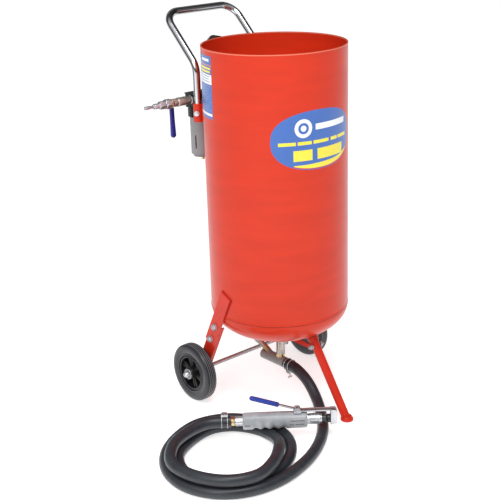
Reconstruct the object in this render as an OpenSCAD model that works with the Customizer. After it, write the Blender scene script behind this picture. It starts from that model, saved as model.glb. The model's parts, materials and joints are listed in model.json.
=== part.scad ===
// Portable pressure abrasive blaster: an open-topped tank on two wheels and a
// front leg, with a push handle, an inlet filter and valve, a mixing tee under
// the tank, and a blast hose with a deadman gun lying in front of it.
// Built about the tank axis: +X to the right, -Y to the front leg, +Z up.

/* [Tank] */
// Outside diameter of the tank
tank_d = 400; // [360:1:440]
// Thickness of the tank wall and heads
wall = 3; // [2:0.5:4]
// Height of the open rim above the floor
rim_z = 1039; // [1000:1:1100]
// Height of the joint between wall and bottom head
seam_z = 287; // [280:1:300]
// Height at which the hopper head meets the wall
hopper_z = 890; // [886:1:920]
// Depth of the dish in the hopper head
hopper_dip = 45; // [35:1:60]
// Outside diameter of the filler neck
neck_d = 76; // [60:1:90]

/* [Wheels and legs] */
// Diameter of the wheels
wheel_d = 173; // [160:1:180]
// Width of the tyres
wheel_w = 36; // [30:1:38]
// Distance from the tank axis to the middle of a wheel
wheel_x = 226.5; // [225:0.5:232]
// Distance of the axle behind the tank axis
axle_y = 129.5; // [120:0.5:140]
// Diameter of the axle
axle_d = 12; // [10:0.5:14]
// Width of the rear legs
leg_w = 41; // [35:1:45]
// Diameter of the front leg tube
front_leg_d = 25; // [22:1:27]
// Distance of the foot in front of the tank axis
foot_y = -276; // [-300:1:-260]

/* [Handle] */
// Diameter of the handle tube
handle_d = 21; // [19:0.5:22]
// Distance of each handle leg from the middle
handle_x = 125.5; // [120:0.5:128]
// Distance of the handle legs behind the tank axis
handle_y = 186; // [184:1:190]
// Height of the bend where the handle leans back
handle_bend_z = 971; // [950:1:990]
// How far the grip bar stands behind the bend
handle_back = 138; // [120:1:150]
// How far the grip bar stands above the bend
handle_up = 135; // [120:1:150]

/* [Air line] */
// Distance of the filter and manifold line behind the tank axis
air_y = 250; // [248:1:254]
// Height of the inlet air line
air_z = 864; // [860:1:868]
// Distance of the filter axis from the middle, to the left
filter_x = -66; // [-68:1:-64]
// Diameter of the filter bowl guard
bowl_d = 66; // [60:1:68]
// Diameter of the air hose
air_hose_d = 16; // [13:0.5:18]
// Outside diameter of the pressure gauge
gauge_d = 50; // [40:1:52]

/* [Blast line] */
// Diameter of the blast hose
hose_d = 32; // [30:1:32]
// Height of the mixing tee's axis
tee_z = 91; // [90:1:92]
// Length of the gun body
gun_body_l = 176; // [170:1:180]
// Diameter of the gun body
gun_body_d = 46; // [42:1:48]

/* [Hidden] */
$fn = 64;
fine = 160;
small = 32;

// tank
tank_r = tank_d / 2;
inner_r = tank_r - wall;
head_h = tank_d / 4;
neck_r = neck_d / 2;
neck_bore_r = neck_r - 5;
neck_top = hopper_z - 5;
outlet_r = 13;
boss_r = 25;
boss_bottom = 172;
bung_r = 14;

// wheels, legs and handle
wheel_r = wheel_d / 2;
axle_z = wheel_r;
axle_r = axle_d / 2;
bead_r = 54;
hub_boss_r = 17;
hub_in = 207.5;
hub_out = 250.5;
plate_t = 6;
channel_t = 3;
channel_depth = 12;
leg_top = [-2.5, 357.5];
leg_line = [axle_y, axle_z] - leg_top;
leg_l = norm(leg_line);
leg_tilt = atan2(leg_line.x, -leg_line.y);
plate_l = 184;
channel_from = 114;
channel_past = 14;
leg_bolt_s = [122, 170.5];
front_r = front_leg_d / 2;
front_top = [-136, 214];
front_line = front_top - [foot_y, 0];
front_l = norm(front_line);
front_tilt = atan2(front_line.x, front_line.y);
foot_r = 18.5;
foot_t = 5;
brace_bolt = [-152.5, 190];
handle_r = handle_d / 2;
handle_tilt = atan2(handle_back, handle_up);
handle_l = norm([handle_back, handle_up]);
handle_low = 818;
bend_r = 55;
corner_r = 47;
socket_r = 13.5;
socket_z = [814.5, 866.5];
socket_turn = atan2(handle_y, handle_x);

// the row frame's origin is under the middle of the machine
mid_y = (handle_y + handle_back + handle_r + foot_y - foot_r) / 2;

// inlet air line
port_x = filter_x - 36;
valve_x = -134.5;
lever_l = 108;
// how far the lever's grip stands off the line of its pivot
lever_set = 20;
manifold_half = 14;
gauge_r = gauge_d / 2;
gauge_z = rim_z - 29.5;
bowl_r = bowl_d / 2;
bowl_top = 812;
bowl_low = 694;
head_top = 880;
hose_r_air = air_hose_d / 2;
air_bend_r = 90;
air_slope = 28;
air_in = [52, 104];

// blast line
hose_r = hose_d / 2;
hose_bore_r = 9.5;
tee_r = 16;
tee_front = -22;
tee_back = 80;
valve_z = 145;
gun_at = [-284, -155, 55];
gun_turn = -39.7;
gun_r = gun_body_d / 2;
gun_hose_end = -33;
pivot = [150, 31];
grip_near = [98, 46];
grip_far = [22, 70];
HOSE_ROUTE = [
    [0, -24.5, 91], [0, -70, 86], [-3, -120, 64], [-20, -175, 32],
    [-60, -235, 16], [-120, -300, 16], [-195, -352, 16], [-280, -387, 16],
    [-370, -402, 16], [-455, -388, 16], [-525, -340, 16], [-563, -262, 16],
    [-556, -175, 16], [-508, -98, 16], [-430, -46, 16], [-340, -27, 16],
    [-258, -62, 16], [-210, -133, 16], [-200, -215, 16], [-232, -292, 16],
    [-300, -348, 16], [-385, -365, 16], [-465, -343, 16], [-518, -280, 16],
    [-524, -200, 16], [-485, -125, 16], [-410, -84, 16], [-333, -72, 16],
    [-277, -100, 16], [-243, -155, 16], [-236, -212, 17], [-258, -270, 30],
    [-302, -322, 46], [-360, -366, 50], [-432, -388, 50], [-505, -356, 50],
    [-552, -280, 50], [-556, -194, 50], [-506, -128, 51], [-440, -98, 52],
    [-366, -96, 54], [-309, -134, 55]
];

// ---- shapes shared by several parts ----

module placed() {
    translate([0, -mid_y, 0]) children();
}

module along_x() {
    rotate([0, 90, 0]) children();
}

module along_y() {
    rotate([-90, 0, 0]) children();
}

module ring(outer, inner, height) {
    difference() {
        cylinder(r = outer, h = height);
        translate([0, 0, -1]) cylinder(r = inner, h = height + 2);
    }
}

// Hexagon bar standing on the floor plane, by its size across flats.
module hex(flats, height) {
    cylinder(d = flats / cos(30), h = height, $fn = 6);
}

// Hexagon head or nut with a bore through it.
module hex_ring(flats, inner, height) {
    difference() {
        hex(flats, height);
        translate([0, 0, -1]) cylinder(r = inner, h = height + 2, $fn = small);
    }
}

module torus(ring_r, wire_r) {
    rotate_extrude() translate([ring_r, 0]) circle(r = wire_r, $fn = small);
}

function ellipse_points(rx, rz, from, to, steps) =
    [for (i = [0:steps]) let (a = from + (to - from) * i / steps)
        [rx * sin(a), -rz * cos(a)]];

// Solid inside the outline of the bottom head, grown by a margin.
module head_solid(margin = 0) {
    translate([0, 0, seam_z]) rotate_extrude($fn = fine)
        polygon(concat(
            ellipse_points(tank_r + margin, head_h + margin, 0, 90, 24),
            [[tank_r + margin, 60], [0, 60]]
        ));
}

// ---- tank ----

module tank_shell() {
    color("orangered") difference() {
        translate([0, 0, seam_z]) cylinder(r = tank_r, h = rim_z - seam_z, $fn = fine);
        translate([0, 0, seam_z - 1])
            cylinder(r = inner_r, h = rim_z - seam_z + 2, $fn = fine);
        translate([0, tank_r - 20, air_z]) along_y() cylinder(r = bung_r, h = 40);
    }
}

module hopper_head() {
    rim_r = inner_r - 0.05;
    sphere_r = (rim_r * rim_r + hopper_dip * hopper_dip) / (2 * hopper_dip);
    function dish(r, drop) =
        [r, hopper_z - hopper_dip + sphere_r - sqrt(sphere_r * sphere_r - r * r) - drop];
    hole_r = neck_r + 0.05;
    steps = 12;
    color("orangered") rotate_extrude($fn = fine) polygon(concat(
        [for (i = [0:steps]) dish(hole_r + (rim_r - hole_r) * i / steps, 0)],
        [for (i = [steps:-1:0]) dish(hole_r + (rim_r - hole_r) * i / steps, wall)]
    ));
}

module bottom_head() {
    steps = 24;
    outer = ellipse_points(tank_r, head_h, asin(outlet_r / tank_r), 90, steps);
    inner = ellipse_points(inner_r, head_h - wall, asin(outlet_r / inner_r), 90, steps);
    color("orangered") translate([0, 0, seam_z]) rotate_extrude($fn = fine)
        polygon(concat(outer, [for (i = [steps:-1:0]) inner[i]]));
}

module filler_neck() {
    color("orangered") translate([0, 0, hopper_z - hopper_dip - 8])
        ring(neck_r, neck_bore_r, neck_top - (hopper_z - hopper_dip - 8));
}

// Welded bosses: the abrasive outlet below and the air bung behind.
module tank_bosses() {
    color("orangered") difference() {
        translate([0, 0, boss_bottom]) ring(boss_r, outlet_r, 30);
        head_solid(0.02);
    }
    color("orangered") difference() {
        translate([0, inner_r - 6, air_z]) along_y() cylinder(r = bung_r - 0.05, h = 24);
        translate([0, inner_r - 10, air_z]) along_y() cylinder(r = 8, h = 40);
    }
}

module filler_cap() {
    cap_r = neck_r + 7;
    color("silver") difference() {
        union() {
            translate([0, 0, neck_top - 16]) cylinder(r = cap_r, h = 25);
            translate([0, 0, neck_top + 9]) cylinder(r = 11, h = 27);
            translate([-55, 0, neck_top + 36]) along_x() cylinder(r = 6, h = 110, $fn = small);
        }
        translate([0, 0, neck_top - 17]) cylinder(r = neck_r + 0.4, h = 20);
    }
}

module cap_gasket() {
    color("black") translate([0, 0, neck_top + 0.1]) ring(neck_r - 0.5, neck_bore_r, 2.9);
}

// ---- handle ----

// Bent handle as a swept round bar of a given radius.
module handle_bar(r) {
    trim = bend_r * tan(handle_tilt / 2);
    for (side = [-1, 1]) {
        translate([side * handle_x, handle_y, handle_low])
            cylinder(r = r, h = handle_bend_z - trim - handle_low);
        translate([side * handle_x, handle_y + bend_r, handle_bend_z - trim])
            rotate([90, 0, -90]) rotate_extrude(angle = handle_tilt)
                translate([bend_r, 0]) circle(r = r);
    }
    translate([0, handle_y, handle_bend_z]) rotate([-handle_tilt, 0, 0]) {
        for (side = [-1, 1]) {
            translate([side * handle_x, 0, trim])
                cylinder(r = r, h = handle_l - trim - corner_r);
            translate([side * (handle_x - corner_r), 0, handle_l - corner_r])
                rotate([90, 0, 0]) rotate([0, 0, side > 0 ? 0 : 90])
                    rotate_extrude(angle = 90) translate([corner_r, 0]) circle(r = r);
        }
        translate([-(handle_x - corner_r), 0, handle_l])
            along_x() cylinder(r = r, h = 2 * (handle_x - corner_r));
    }
}

// Places children on the bolt line through each handle socket.
module at_handle_bolts() {
    for (side = [-1, 1])
        translate([side * handle_x, handle_y, 840])
            rotate([0, 0, side > 0 ? socket_turn : 180 - socket_turn])
                rotate([side > 0 ? 90 : -90, 0, 0]) rotate([0, 180, 0]) children();
}

module handle_tube() {
    color("gainsboro") difference() {
        handle_bar(handle_r);
        handle_bar(handle_r - 1.6);
        at_handle_bolts() cylinder(r = 4.2, h = 60, center = true, $fn = small);
    }
}

module handle_sockets() {
    height = socket_z[1] - socket_z[0];
    web = norm([handle_x, handle_y]) - tank_r - 0.1;
    color("orangered") difference() {
        for (side = [-1, 1]) {
            translate([side * handle_x, handle_y, socket_z[0]]) cylinder(r = socket_r, h = height);
            translate([side * handle_x, handle_y, socket_z[0]])
                rotate([0, 0, side > 0 ? socket_turn : 180 - socket_turn])
                    translate([-web, -4, 3]) cube([web - 12, 8, height - 6]);
        }
        for (side = [-1, 1])
            translate([side * handle_x, handle_y, socket_z[0] - 1])
                cylinder(r = handle_r + 0.1, h = height + 2);
        at_handle_bolts() cylinder(r = 4.2, h = 60, center = true, $fn = small);
    }
}

module handle_bolts() {
    color("silver") at_handle_bolts() {
        translate([0, 0, -19]) cylinder(r = 4, h = 42, $fn = small);
        translate([0, 0, -19.2]) hex(13, 5);
        translate([0, 0, 14.2]) cylinder(r = 8, h = 1.6, $fn = small);
        translate([0, 0, 15.8]) hex(13, 6.5);
    }
}

// ---- inlet filter ----

module filter_bracket() {
    color("dimgray") difference() {
        union() {
            translate([filter_x - 42, air_y - 26, head_top + 0.1]) cube([64, 46, 3]);
            translate([filter_x - 20, tank_r - 30, head_top + 0.1])
                cube([34, air_y - tank_r + 10, 3]);
        }
        cylinder(r = tank_r + 0.05, h = rim_z, $fn = fine);
    }
}

module filter_head() {
    color("black") difference() {
        union() {
            translate([filter_x, air_y, bowl_top + 1]) cylinder(r = bowl_r + 5, h = 30);
            translate([port_x, air_y - 24, bowl_top + 28])
                cube([2 * (filter_x - port_x), 48, head_top - bowl_top - 28]);
        }
        translate([port_x - 1, air_y, air_z]) along_x() cylinder(r = 8.5, h = 18);
        translate([filter_x + 18, air_y, air_z]) along_x() cylinder(r = 8.5, h = 19);
        translate([filter_x, air_y, bowl_top]) cylinder(r = bowl_r - 3, h = 20);
    }
}

module filter_bowl_guard() {
    color("darkgray") translate([filter_x, air_y, 0]) difference() {
        union() {
            translate([0, 0, bowl_low + 8]) cylinder(r = bowl_r, h = bowl_top - bowl_low - 7.1);
            translate([0, 0, bowl_low]) cylinder(r = bowl_r - 6, h = 8.1);
        }
        translate([0, 0, bowl_low + 11]) cylinder(r = bowl_r - 2, h = bowl_top - bowl_low);
        translate([0, 0, bowl_low - 1]) cylinder(r = 7.2, h = 13);
        for (turn = [0:60:300]) rotate([0, 0, turn - 162])
            translate([0, -2, bowl_low + 26]) cube([bowl_d, 4, 40]);
    }
}

module filter_bowl() {
    color("lightblue", 0.4) translate([filter_x, air_y, bowl_low + 11.2]) difference() {
        cylinder(r = bowl_r - 4, h = bowl_top - bowl_low + 6);
        translate([0, 0, 3]) cylinder(r = bowl_r - 6.5, h = bowl_top - bowl_low + 6);
        translate([0, 0, -1]) cylinder(r = 5.6, h = 6, $fn = small);
    }
}

module filter_element() {
    color("white") translate([filter_x, air_y, bowl_low + 50]) ring(15, 8, 70);
}

module filter_drain() {
    color("goldenrod") translate([filter_x, air_y, bowl_low - 12]) {
        cylinder(r = 5, h = 32, $fn = small);
        translate([0, 0, 26.4]) cylinder(r = 8, h = 3, $fn = small);
    }
}

// ---- inlet ball valve ----

module inlet_valve_body() {
    length = port_x - 0.2 - (valve_x - 32.5);
    color("silver") translate([valve_x - 32.5, air_y, air_z]) difference() {
        union() {
            along_x() hex(21, length);
            translate([15, 0, 0]) along_x() cylinder(r = 13, h = 35);
            translate([32.5, 0, 0]) along_y() cylinder(r = 7, h = 19, $fn = small);
        }
        translate([-1, 0, 0]) along_x() cylinder(r = 6, h = length + 2, $fn = small);
        translate([22.5, 0, 0]) along_x() cylinder(r = 9.8, h = 20);
        translate([32.5, 0, 0]) along_y() cylinder(r = 4.05, h = 30, $fn = small);
    }
}

module inlet_valve_ball() {
    color("silver") translate([valve_x, air_y, air_z]) difference() {
        union() {
            sphere(r = 9.5);
            along_y() cylinder(r = 4, h = 29, $fn = small);
        }
        translate([0, 0, -12]) cylinder(r = 5.5, h = 24, $fn = small);
    }
}

// A flat lever cranked sideways below its pivot, so that the grip clears the valve.
module inlet_lever() {
    color("silver") translate([valve_x, air_y + 19.5, air_z]) {
        difference() {
            union() {
                along_y() cylinder(r = 7.5, h = 2.5, $fn = small);
                translate([-lever_set - 5.5, 0, -14]) cube([lever_set + 13, 2.5, 14]);
                translate([-lever_set - 5.5, 0, 5 - lever_l]) cube([11, 2.5, lever_l - 16]);
            }
            translate([0, -1, 0]) along_y() cylinder(r = 4.02, h = 4.5, $fn = small);
        }
        translate([0, 2.4, 0]) along_y() hex_ring(10, 4.02, 4);
    }
}

module inlet_lever_grip() {
    color("darkblue") translate([valve_x - lever_set, air_y + 20.75, air_z]) difference() {
        union() {
            translate([-8.5, -5, 8 - lever_l]) cube([17, 10, lever_l - 23]);
            translate([0, -5, 8 - lever_l]) along_y() cylinder(r = 8.5, h = 10, $fn = small);
        }
        translate([-5.55, -1.3, 4.9 - lever_l]) cube([11.1, 2.6, lever_l]);
    }
}

module quick_plug() {
    start = valve_x - 32.7;
    color("silver") translate([start, air_y, air_z]) mirror([1, 0, 0]) difference() {
        union() {
            along_x() cylinder(r = 12, h = 6);
            translate([6, 0, 0]) along_x() hex(24, 20);
            translate([26, 0, 0]) along_x() hex(18, 22);
            translate([48, 0, 0]) along_x() cylinder(r = 7.5, h = 20, $fn = small);
            translate([68, 0, 0]) along_x() cylinder(r = 4, h = 10, $fn = small);
            translate([78, 0, 0]) along_x() cylinder(r = 5, h = 18, $fn = small);
        }
        translate([-1, 0, 0]) along_x() cylinder(r = 2.8, h = 99, $fn = small);
    }
}

// ---- manifold, relief valve and gauge ----

module manifold() {
    half = manifold_half;
    color("goldenrod") translate([0, air_y, air_z]) difference() {
        union() {
            translate([-half, -half, -half]) cube(2 * half);
            translate([0, 0, -half - 14]) cylinder(r = 9, h = 15, $fn = small);
            translate([0, 0, -half - 40]) cylinder(r = 4.9, h = 40, $fn = small);
        }
        translate([-half - 1, 0, 0]) along_x() cylinder(r = 6, h = 2 * half + 2, $fn = small);
        translate([0, -half - 1, 0]) along_y() cylinder(r = 6, h = half + 1, $fn = small);
        translate([0, 0, 0]) cylinder(r = 6, h = half + 1, $fn = small);
        translate([0, 0, -half - 41]) cylinder(r = 3, h = half + 41, $fn = small);
    }
}

// Short pipes from the filter and to the tank, and the riser to the gauge.
module manifold_nipples() {
    half = manifold_half;
    from_filter = filter_x * 2 - port_x;
    riser_l = gauge_z - gauge_r - 13 - air_z - half;
    color("silver") {
        translate([from_filter - 10, air_y, air_z]) along_x()
            ring(8.4, 5, -from_filter - half + 10 - 0.1);
        translate([from_filter + 2, air_y, air_z]) along_x()
            hex_ring(20, 8, -from_filter - half - 4);
        translate([0, tank_r + 8, air_z]) along_y() ring(7.9, 5, air_y - half - tank_r - 8.1);
        translate([0, tank_r + 22, air_z]) along_y() hex_ring(19, 7.5, 10);
        translate([0, air_y, air_z + half + 0.1]) ring(6.8, 4, riser_l);
        translate([0, air_y, air_z + half + 0.1]) hex_ring(17, 6.5, 9);
        translate([0, air_y, air_z + half + riser_l - 12]) hex_ring(17, 6.5, 12);
    }
}

module relief_valve() {
    color("goldenrod") translate([manifold_half + 0.1, air_y, air_z]) difference() {
        union() {
            along_x() hex(17, 12);
            translate([12, 0, 0]) along_x() cylinder(r = 7, h = 22, $fn = small);
        }
        translate([-1, 0, 0]) along_x() cylinder(r = 4, h = 8, $fn = small);
        translate([20, 0, 0]) along_x() cylinder(r = 2.1, h = 20, $fn = small);
    }
}

module relief_ring() {
    color("silver") translate([manifold_half, air_y, air_z]) {
        translate([22, 0, 0]) along_x() cylinder(r = 2, h = 22, $fn = small);
        translate([54, 0, 0]) rotate([90, 0, 0]) torus(11, 1.2);
    }
}

module gauge_case() {
    color("dimgray") translate([0, air_y, gauge_z]) difference() {
        union() {
            translate([0, -13, 0]) along_y() cylinder(r = gauge_r, h = 27);
            translate([0, 0, -gauge_r - 12.8]) cylinder(r = 6, h = 16, $fn = small);
            translate([0, 0, -gauge_r - 10]) hex(14, 11);
        }
        translate([0, -11, 0]) along_y() cylinder(r = gauge_r - 2, h = 30);
    }
}

module gauge_dial() {
    color("white") translate([0, air_y + 5, gauge_z]) along_y() ring(gauge_r - 2.1, 1.6, 1);
}

module gauge_lens() {
    color("lightcyan", 0.4) translate([0, air_y + 11, gauge_z])
        along_y() cylinder(r = gauge_r - 2.1, h = 2);
}

module gauge_needle() {
    color("black") translate([0, air_y, gauge_z]) rotate([0, -45, 0]) {
        translate([0, -10.9, 0]) along_y() cylinder(r = 1.5, h = 19.5, $fn = small);
        translate([-0.6, 7, -17]) cube([1.2, 1, 24]);
    }
}

// ---- air line down to the tee ----

// Frame whose Z axis runs up the sloping part of the air line.
module air_slope_frame() {
    translate([0, air_in.x, air_in.y]) rotate([air_slope - 90, 0, 0]) children();
}

module air_hose() {
    slope_len = (air_y - air_bend_r * (1 - sin(air_slope)) - air_in.x) / cos(air_slope);
    bend_y = air_in.x + slope_len * cos(air_slope) - air_bend_r * sin(air_slope);
    bend_z = air_in.y + slope_len * sin(air_slope) + air_bend_r * cos(air_slope);
    from = 112;
    top_z = air_z - manifold_half - 14.2;
    color("dimgray") difference() {
        union() {
            air_slope_frame() translate([0, 0, from])
                cylinder(r = hose_r_air, h = slope_len - from);
            translate([0, bend_y, bend_z]) rotate([90, 0, 90])
                rotate([0, 0, air_slope - 90]) rotate_extrude(angle = 90 - air_slope)
                    translate([air_bend_r, 0]) circle(r = hose_r_air);
            translate([0, air_y, bend_z + 0.02])
                cylinder(r = hose_r_air, h = top_z - bend_z - 0.02);
        }
        air_slope_frame() translate([0, 0, from - 1]) cylinder(r = 5, h = 30, $fn = small);
        translate([0, air_y, top_z - 30]) cylinder(r = 5, h = 60, $fn = small);
    }
}

module choke_valve() {
    color("silver") air_slope_frame() difference() {
        union() {
            translate([0, 0, 20]) cylinder(r = 8.5, h = 30);
            translate([0, 0, 44]) hex(19, 40);
            translate([0, 0, 50]) cylinder(r = 12, h = 28);
            translate([0, 0, 64]) along_x() cylinder(r = 6, h = 16, $fn = small);
            translate([0, 0, 84]) cylinder(r = 8, h = 27.8);
            translate([0, 0, 110]) cylinder(r = 4.9, h = 26, $fn = small);
        }
        translate([0, 0, 19]) cylinder(r = 3, h = 120, $fn = small);
        translate([0, 0, 64]) along_x() cylinder(r = 3.05, h = 30, $fn = small);
    }
}

module choke_lever() {
    color("darkblue") air_slope_frame() translate([0, 0, 64]) {
        translate([7, 0, 0]) along_x() cylinder(r = 3, h = 15, $fn = small);
        translate([17, 0, 0]) along_x() cylinder(r = 8, h = 3, $fn = small);
        translate([17, -5.5, 0]) cube([3, 11, 52]);
    }
}

// Hex fitting where the air line meets the tee, and the bush under the valve.
module brass_fittings() {
    color("goldenrod") {
        air_slope_frame() translate([0, 0, 2]) hex_ring(17, 4, 17.8);
        translate([0, 0, 107.4]) ring(13, hose_bore_r, 7.4);
    }
}

// ---- metering valve, tee and hose connection ----

module metering_valve() {
    low = 115;
    color("silver") difference() {
        union() {
            translate([0, 0, low]) hex(24, 14);
            translate([0, 0, low + 12]) cylinder(r = 13, h = 34);
            translate([0, 0, low + 44]) hex(24, boss_bottom - low - 44.2);
            translate([0, 0, valve_z]) along_x() cylinder(r = 7, h = 21, $fn = small);
        }
        translate([0, 0, low - 1]) cylinder(r = hose_bore_r, h = 80);
        translate([0, 0, valve_z]) along_x() cylinder(r = 3.05, h = 30, $fn = small);
    }
}

module metering_lever() {
    color("silver") translate([0, 0, valve_z]) {
        translate([10, 0, 0]) along_x() cylinder(r = 3, h = 17, $fn = small);
        translate([22, 0, 0]) along_x() cylinder(r = 8, h = 3, $fn = small);
        translate([22, 0, -6]) cube([3, 68, 12]);
    }
}

module mixing_tee() {
    color("darkgray") difference() {
        union() {
            translate([0, tee_front, tee_z]) along_y() cylinder(r = tee_r, h = tee_back - tee_front - 4);
            translate([0, tee_back - 4, tee_z]) along_y() cylinder(r1 = tee_r, r2 = tee_r - 4, h = 4);
            translate([0, 0, tee_z]) cylinder(r = 12.5, h = 16.2);
            air_slope_frame() translate([0, 0, -8]) cylinder(r = 9, h = 9.8, $fn = small);
        }
        translate([0, tee_front - 1, tee_z]) along_y()
            cylinder(r = hose_bore_r, h = air_in.x - tee_front - 1);
        translate([0, 0, tee_z]) cylinder(r = hose_bore_r, h = 30);
        air_slope_frame() translate([0, 0, -10]) cylinder(r = 4, h = 30, $fn = small);
        air_slope_frame() translate([0, 0, 1.9]) cylinder(r = 10.1, h = 40);
    }
}

module hose_barb() {
    color("silver") translate([0, tee_front - 38, tee_z]) along_y() ring(hose_bore_r - 0.1, 6.5, 58);
}

// Two wire bands side by side round the hose, with their screw housing.
module wire_clamp() {
    for (z = [-8, 8]) translate([0, 0, z]) torus(hose_r + 1.5, 1.2);
    difference() {
        translate([hose_r + 1, -8, -10]) cube([7, 16, 20]);
        translate([0, 0, -20]) cylinder(r = hose_r + 0.3, h = 40);
    }
}

module hose_clamp() {
    color("silver") translate([0, tee_front - 17, tee_z - 1]) along_y() rotate([0, 0, 90]) {
        wire_clamp();
        translate([hose_r + 7.9, 0, 0]) along_x() cylinder(r = 2.5, h = 12, $fn = small);
        translate([hose_r + 19, -8, -1.5]) cube([8, 16, 3]);
    }
}

// ---- blast hose ----

function weave(a, b, c, d, t) =
    0.5 * ((2 * b) + (c - a) * t + (2 * a - 5 * b + 4 * c - d) * t * t
        + (3 * b - a - 3 * c + d) * t * t * t);
function route_point(i) =
    i < 0 ? 2 * HOSE_ROUTE[0] - HOSE_ROUTE[1]
    : i >= len(HOSE_ROUTE) ? 2 * HOSE_ROUTE[i - 1] - HOSE_ROUTE[i - 2]
    : HOSE_ROUTE[i];
function lifted(p) = [p.x, p.y, max(p.z, hose_r)];
function hose_point(s) =
    let (i = min(floor(s), len(HOSE_ROUTE) - 2))
    lifted(weave(route_point(i - 1), route_point(i), route_point(i + 1),
        route_point(i + 2), s - i));

module blast_hose() {
    sides = 12;
    rings = 80;
    span = (len(HOSE_ROUTE) - 1) / (rings - 1);
    line = [for (k = [0:rings - 1]) hose_point(k * span)];
    function heading(k) = let (v = line[min(k + 1, rings - 1)] - line[max(k - 1, 0)]) v / norm(v);
    function ring_points(k) =
        let (t = heading(k), side = cross(t, [0, 0, 1]) / norm(cross(t, [0, 0, 1])), up = cross(side, t))
        [for (j = [0:sides - 1]) line[k]
            + hose_r * (side * cos(360 * j / sides) + up * sin(360 * j / sides))];
    points = [for (k = [0:rings - 1]) for (p = ring_points(k)) [p.x, p.y, max(p.z, 0)]];
    faces = concat(
        [[for (j = [0:sides - 1]) j]],
        [for (k = [0:rings - 2]) for (j = [0:sides - 1])
            let (a = k * sides + j, b = k * sides + (j + 1) % sides) [a, a + sides, b]],
        [for (k = [0:rings - 2]) for (j = [0:sides - 1])
            let (a = k * sides + j, b = k * sides + (j + 1) % sides) [b, a + sides, b + sides]],
        [[for (j = [sides - 1:-1:0]) (rings - 1) * sides + j]]
    );
    color("black") polyhedron(points, faces);
}

// ---- gun, built along +X from the rear of its body ----

module at_gun() {
    translate(gun_at) rotate([0, 0, gun_turn]) children();
}

module gun_clamp() {
    color("silver") at_gun() translate([gun_hose_end - 17, 0, 0]) along_x()
        rotate([0, 0, 180]) wire_clamp();
}

module gun_coupling() {
    color("silver") at_gun() difference() {
        union() {
            translate([gun_hose_end - 28, 0, 0]) along_x() cylinder(r = hose_bore_r - 0.1, h = 30);
            translate([gun_hose_end + 0.1, 0, 0]) along_x() hex(21, 11);
            translate([gun_hose_end + 11, 0, 0]) along_x() cylinder(r = 13.5, h = 22);
        }
        translate([gun_hose_end - 30, 0, 0]) along_x() cylinder(r = 6.5, h = 80);
    }
}

module gun_body() {
    front = gun_body_l;
    color("darkgray") at_gun() difference() {
        union() {
            along_x() cylinder(r = gun_r, h = front);
            for (side = [-1, 1]) translate([pivot.x - 9, side * 10.5 - 1.5, gun_r - 6])
                cube([18, 3, pivot.y - gun_r + 12]);
        }
        translate([-1, 0, 0]) along_x() cylinder(r = hose_bore_r, h = front + 2);
        for (groove = [0:3])
            translate([26 + groove * 24, 0, -gun_r - 8]) rotate([90, 0, 0])
                cylinder(r = 12, h = 60, center = true);
        translate([front - 20, 0, 0]) along_x() ring(gun_r + 5, gun_r - 2, 22);
        translate([pivot.x, 0, pivot.y]) rotate([90, 0, 0])
            cylinder(r = 3.02, h = 40, center = true, $fn = small);
    }
}

module nozzle_nut() {
    from = gun_body_l + 0.1;
    color("silver") at_gun() difference() {
        translate([from, 0, 0]) along_x() cylinder(r = 15, h = 41);
        translate([from - 1, 0, 0]) along_x() cylinder(r = 11.1, h = 50);
    }
}

module nozzle() {
    from = gun_body_l + 12;
    color("black") at_gun() difference() {
        translate([from, 0, 0]) along_x() cylinder(r = 11, h = 43);
        translate([from - 1, 0, 0]) along_x() cylinder(r = 3, h = 60, $fn = small);
        translate([from - 1, 0, 0]) along_x() cylinder(r1 = 9, r2 = 3, h = 22, $fn = small);
    }
}

// Straight flat bar between two points of the gun's XZ plane.
module gun_bar(from, to, width, thick) {
    line = to - from;
    translate([from.x, -width / 2, from.y]) rotate([0, -atan2(line.y, line.x), 0])
        translate([0, 0, -thick / 2]) cube([norm(line), width, thick]);
}

module gun_lever() {
    head_x = gun_body_l + 65;
    color("silver") at_gun() difference() {
        union() {
            translate([pivot.x, 0, pivot.y]) rotate([90, 0, 0])
                cylinder(r = 6, h = 17.6, center = true);
            gun_bar(pivot, grip_near + [-4, 2], 10, 4);
            translate([pivot.x, -8, pivot.y - 4.5]) cube([head_x - pivot.x + 4, 16, 3.5]);
            translate([head_x, -13, -15]) cube([18, 26, pivot.y + 14]);
        }
        translate([pivot.x, 0, pivot.y]) rotate([90, 0, 0])
            cylinder(r = 3, h = 40, center = true, $fn = small);
    }
}

module gun_lever_grip() {
    color("blue") at_gun() difference() {
        gun_bar(grip_near, grip_far, 15, 12);
        gun_bar(pivot, grip_near + [-4.1, 2.05], 10.1, 4.1);
    }
}

module gun_lever_pad() {
    color("black") at_gun() translate([gun_body_l + 55.4, 0, 0]) along_x() cylinder(r = 12, h = 9.6);
}

module gun_pivot_pin() {
    color("silver") at_gun() translate([pivot.x, 0, pivot.y]) rotate([90, 0, 0]) {
        cylinder(r = 2.95, h = 27, center = true, $fn = small);
        translate([0, 0, 12.1]) cylinder(r = 4.5, h = 2, $fn = small);
    }
}

// ---- legs, axle and wheels ----

// Frame at the top of a rear leg whose Z axis runs down the leg.
module rear_leg_frame(side) {
    translate([side * tank_r, leg_top.x, leg_top.y]) rotate([180 + leg_tilt, 0, 0]) children();
}

module at_rear_leg_bolts(side) {
    for (s = leg_bolt_s) rear_leg_frame(side) translate([0, 0, s]) along_x() children();
}

module rear_leg_plates() {
    color("orangered") for (side = [-1, 1]) difference() {
        rear_leg_frame(side) translate([side > 0 ? -1.5 : -plate_t, -leg_w / 2, 0])
            cube([plate_t + 1.5, leg_w, plate_l]);
        cylinder(r = tank_r + 0.05, h = 600, $fn = fine);
        translate([-tank_r, -100, 0]) cube([2 * tank_r, 300, seam_z]);
        at_rear_leg_bolts(side) cylinder(r = 5.2, h = 40, center = true, $fn = small);
    }
}

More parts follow.
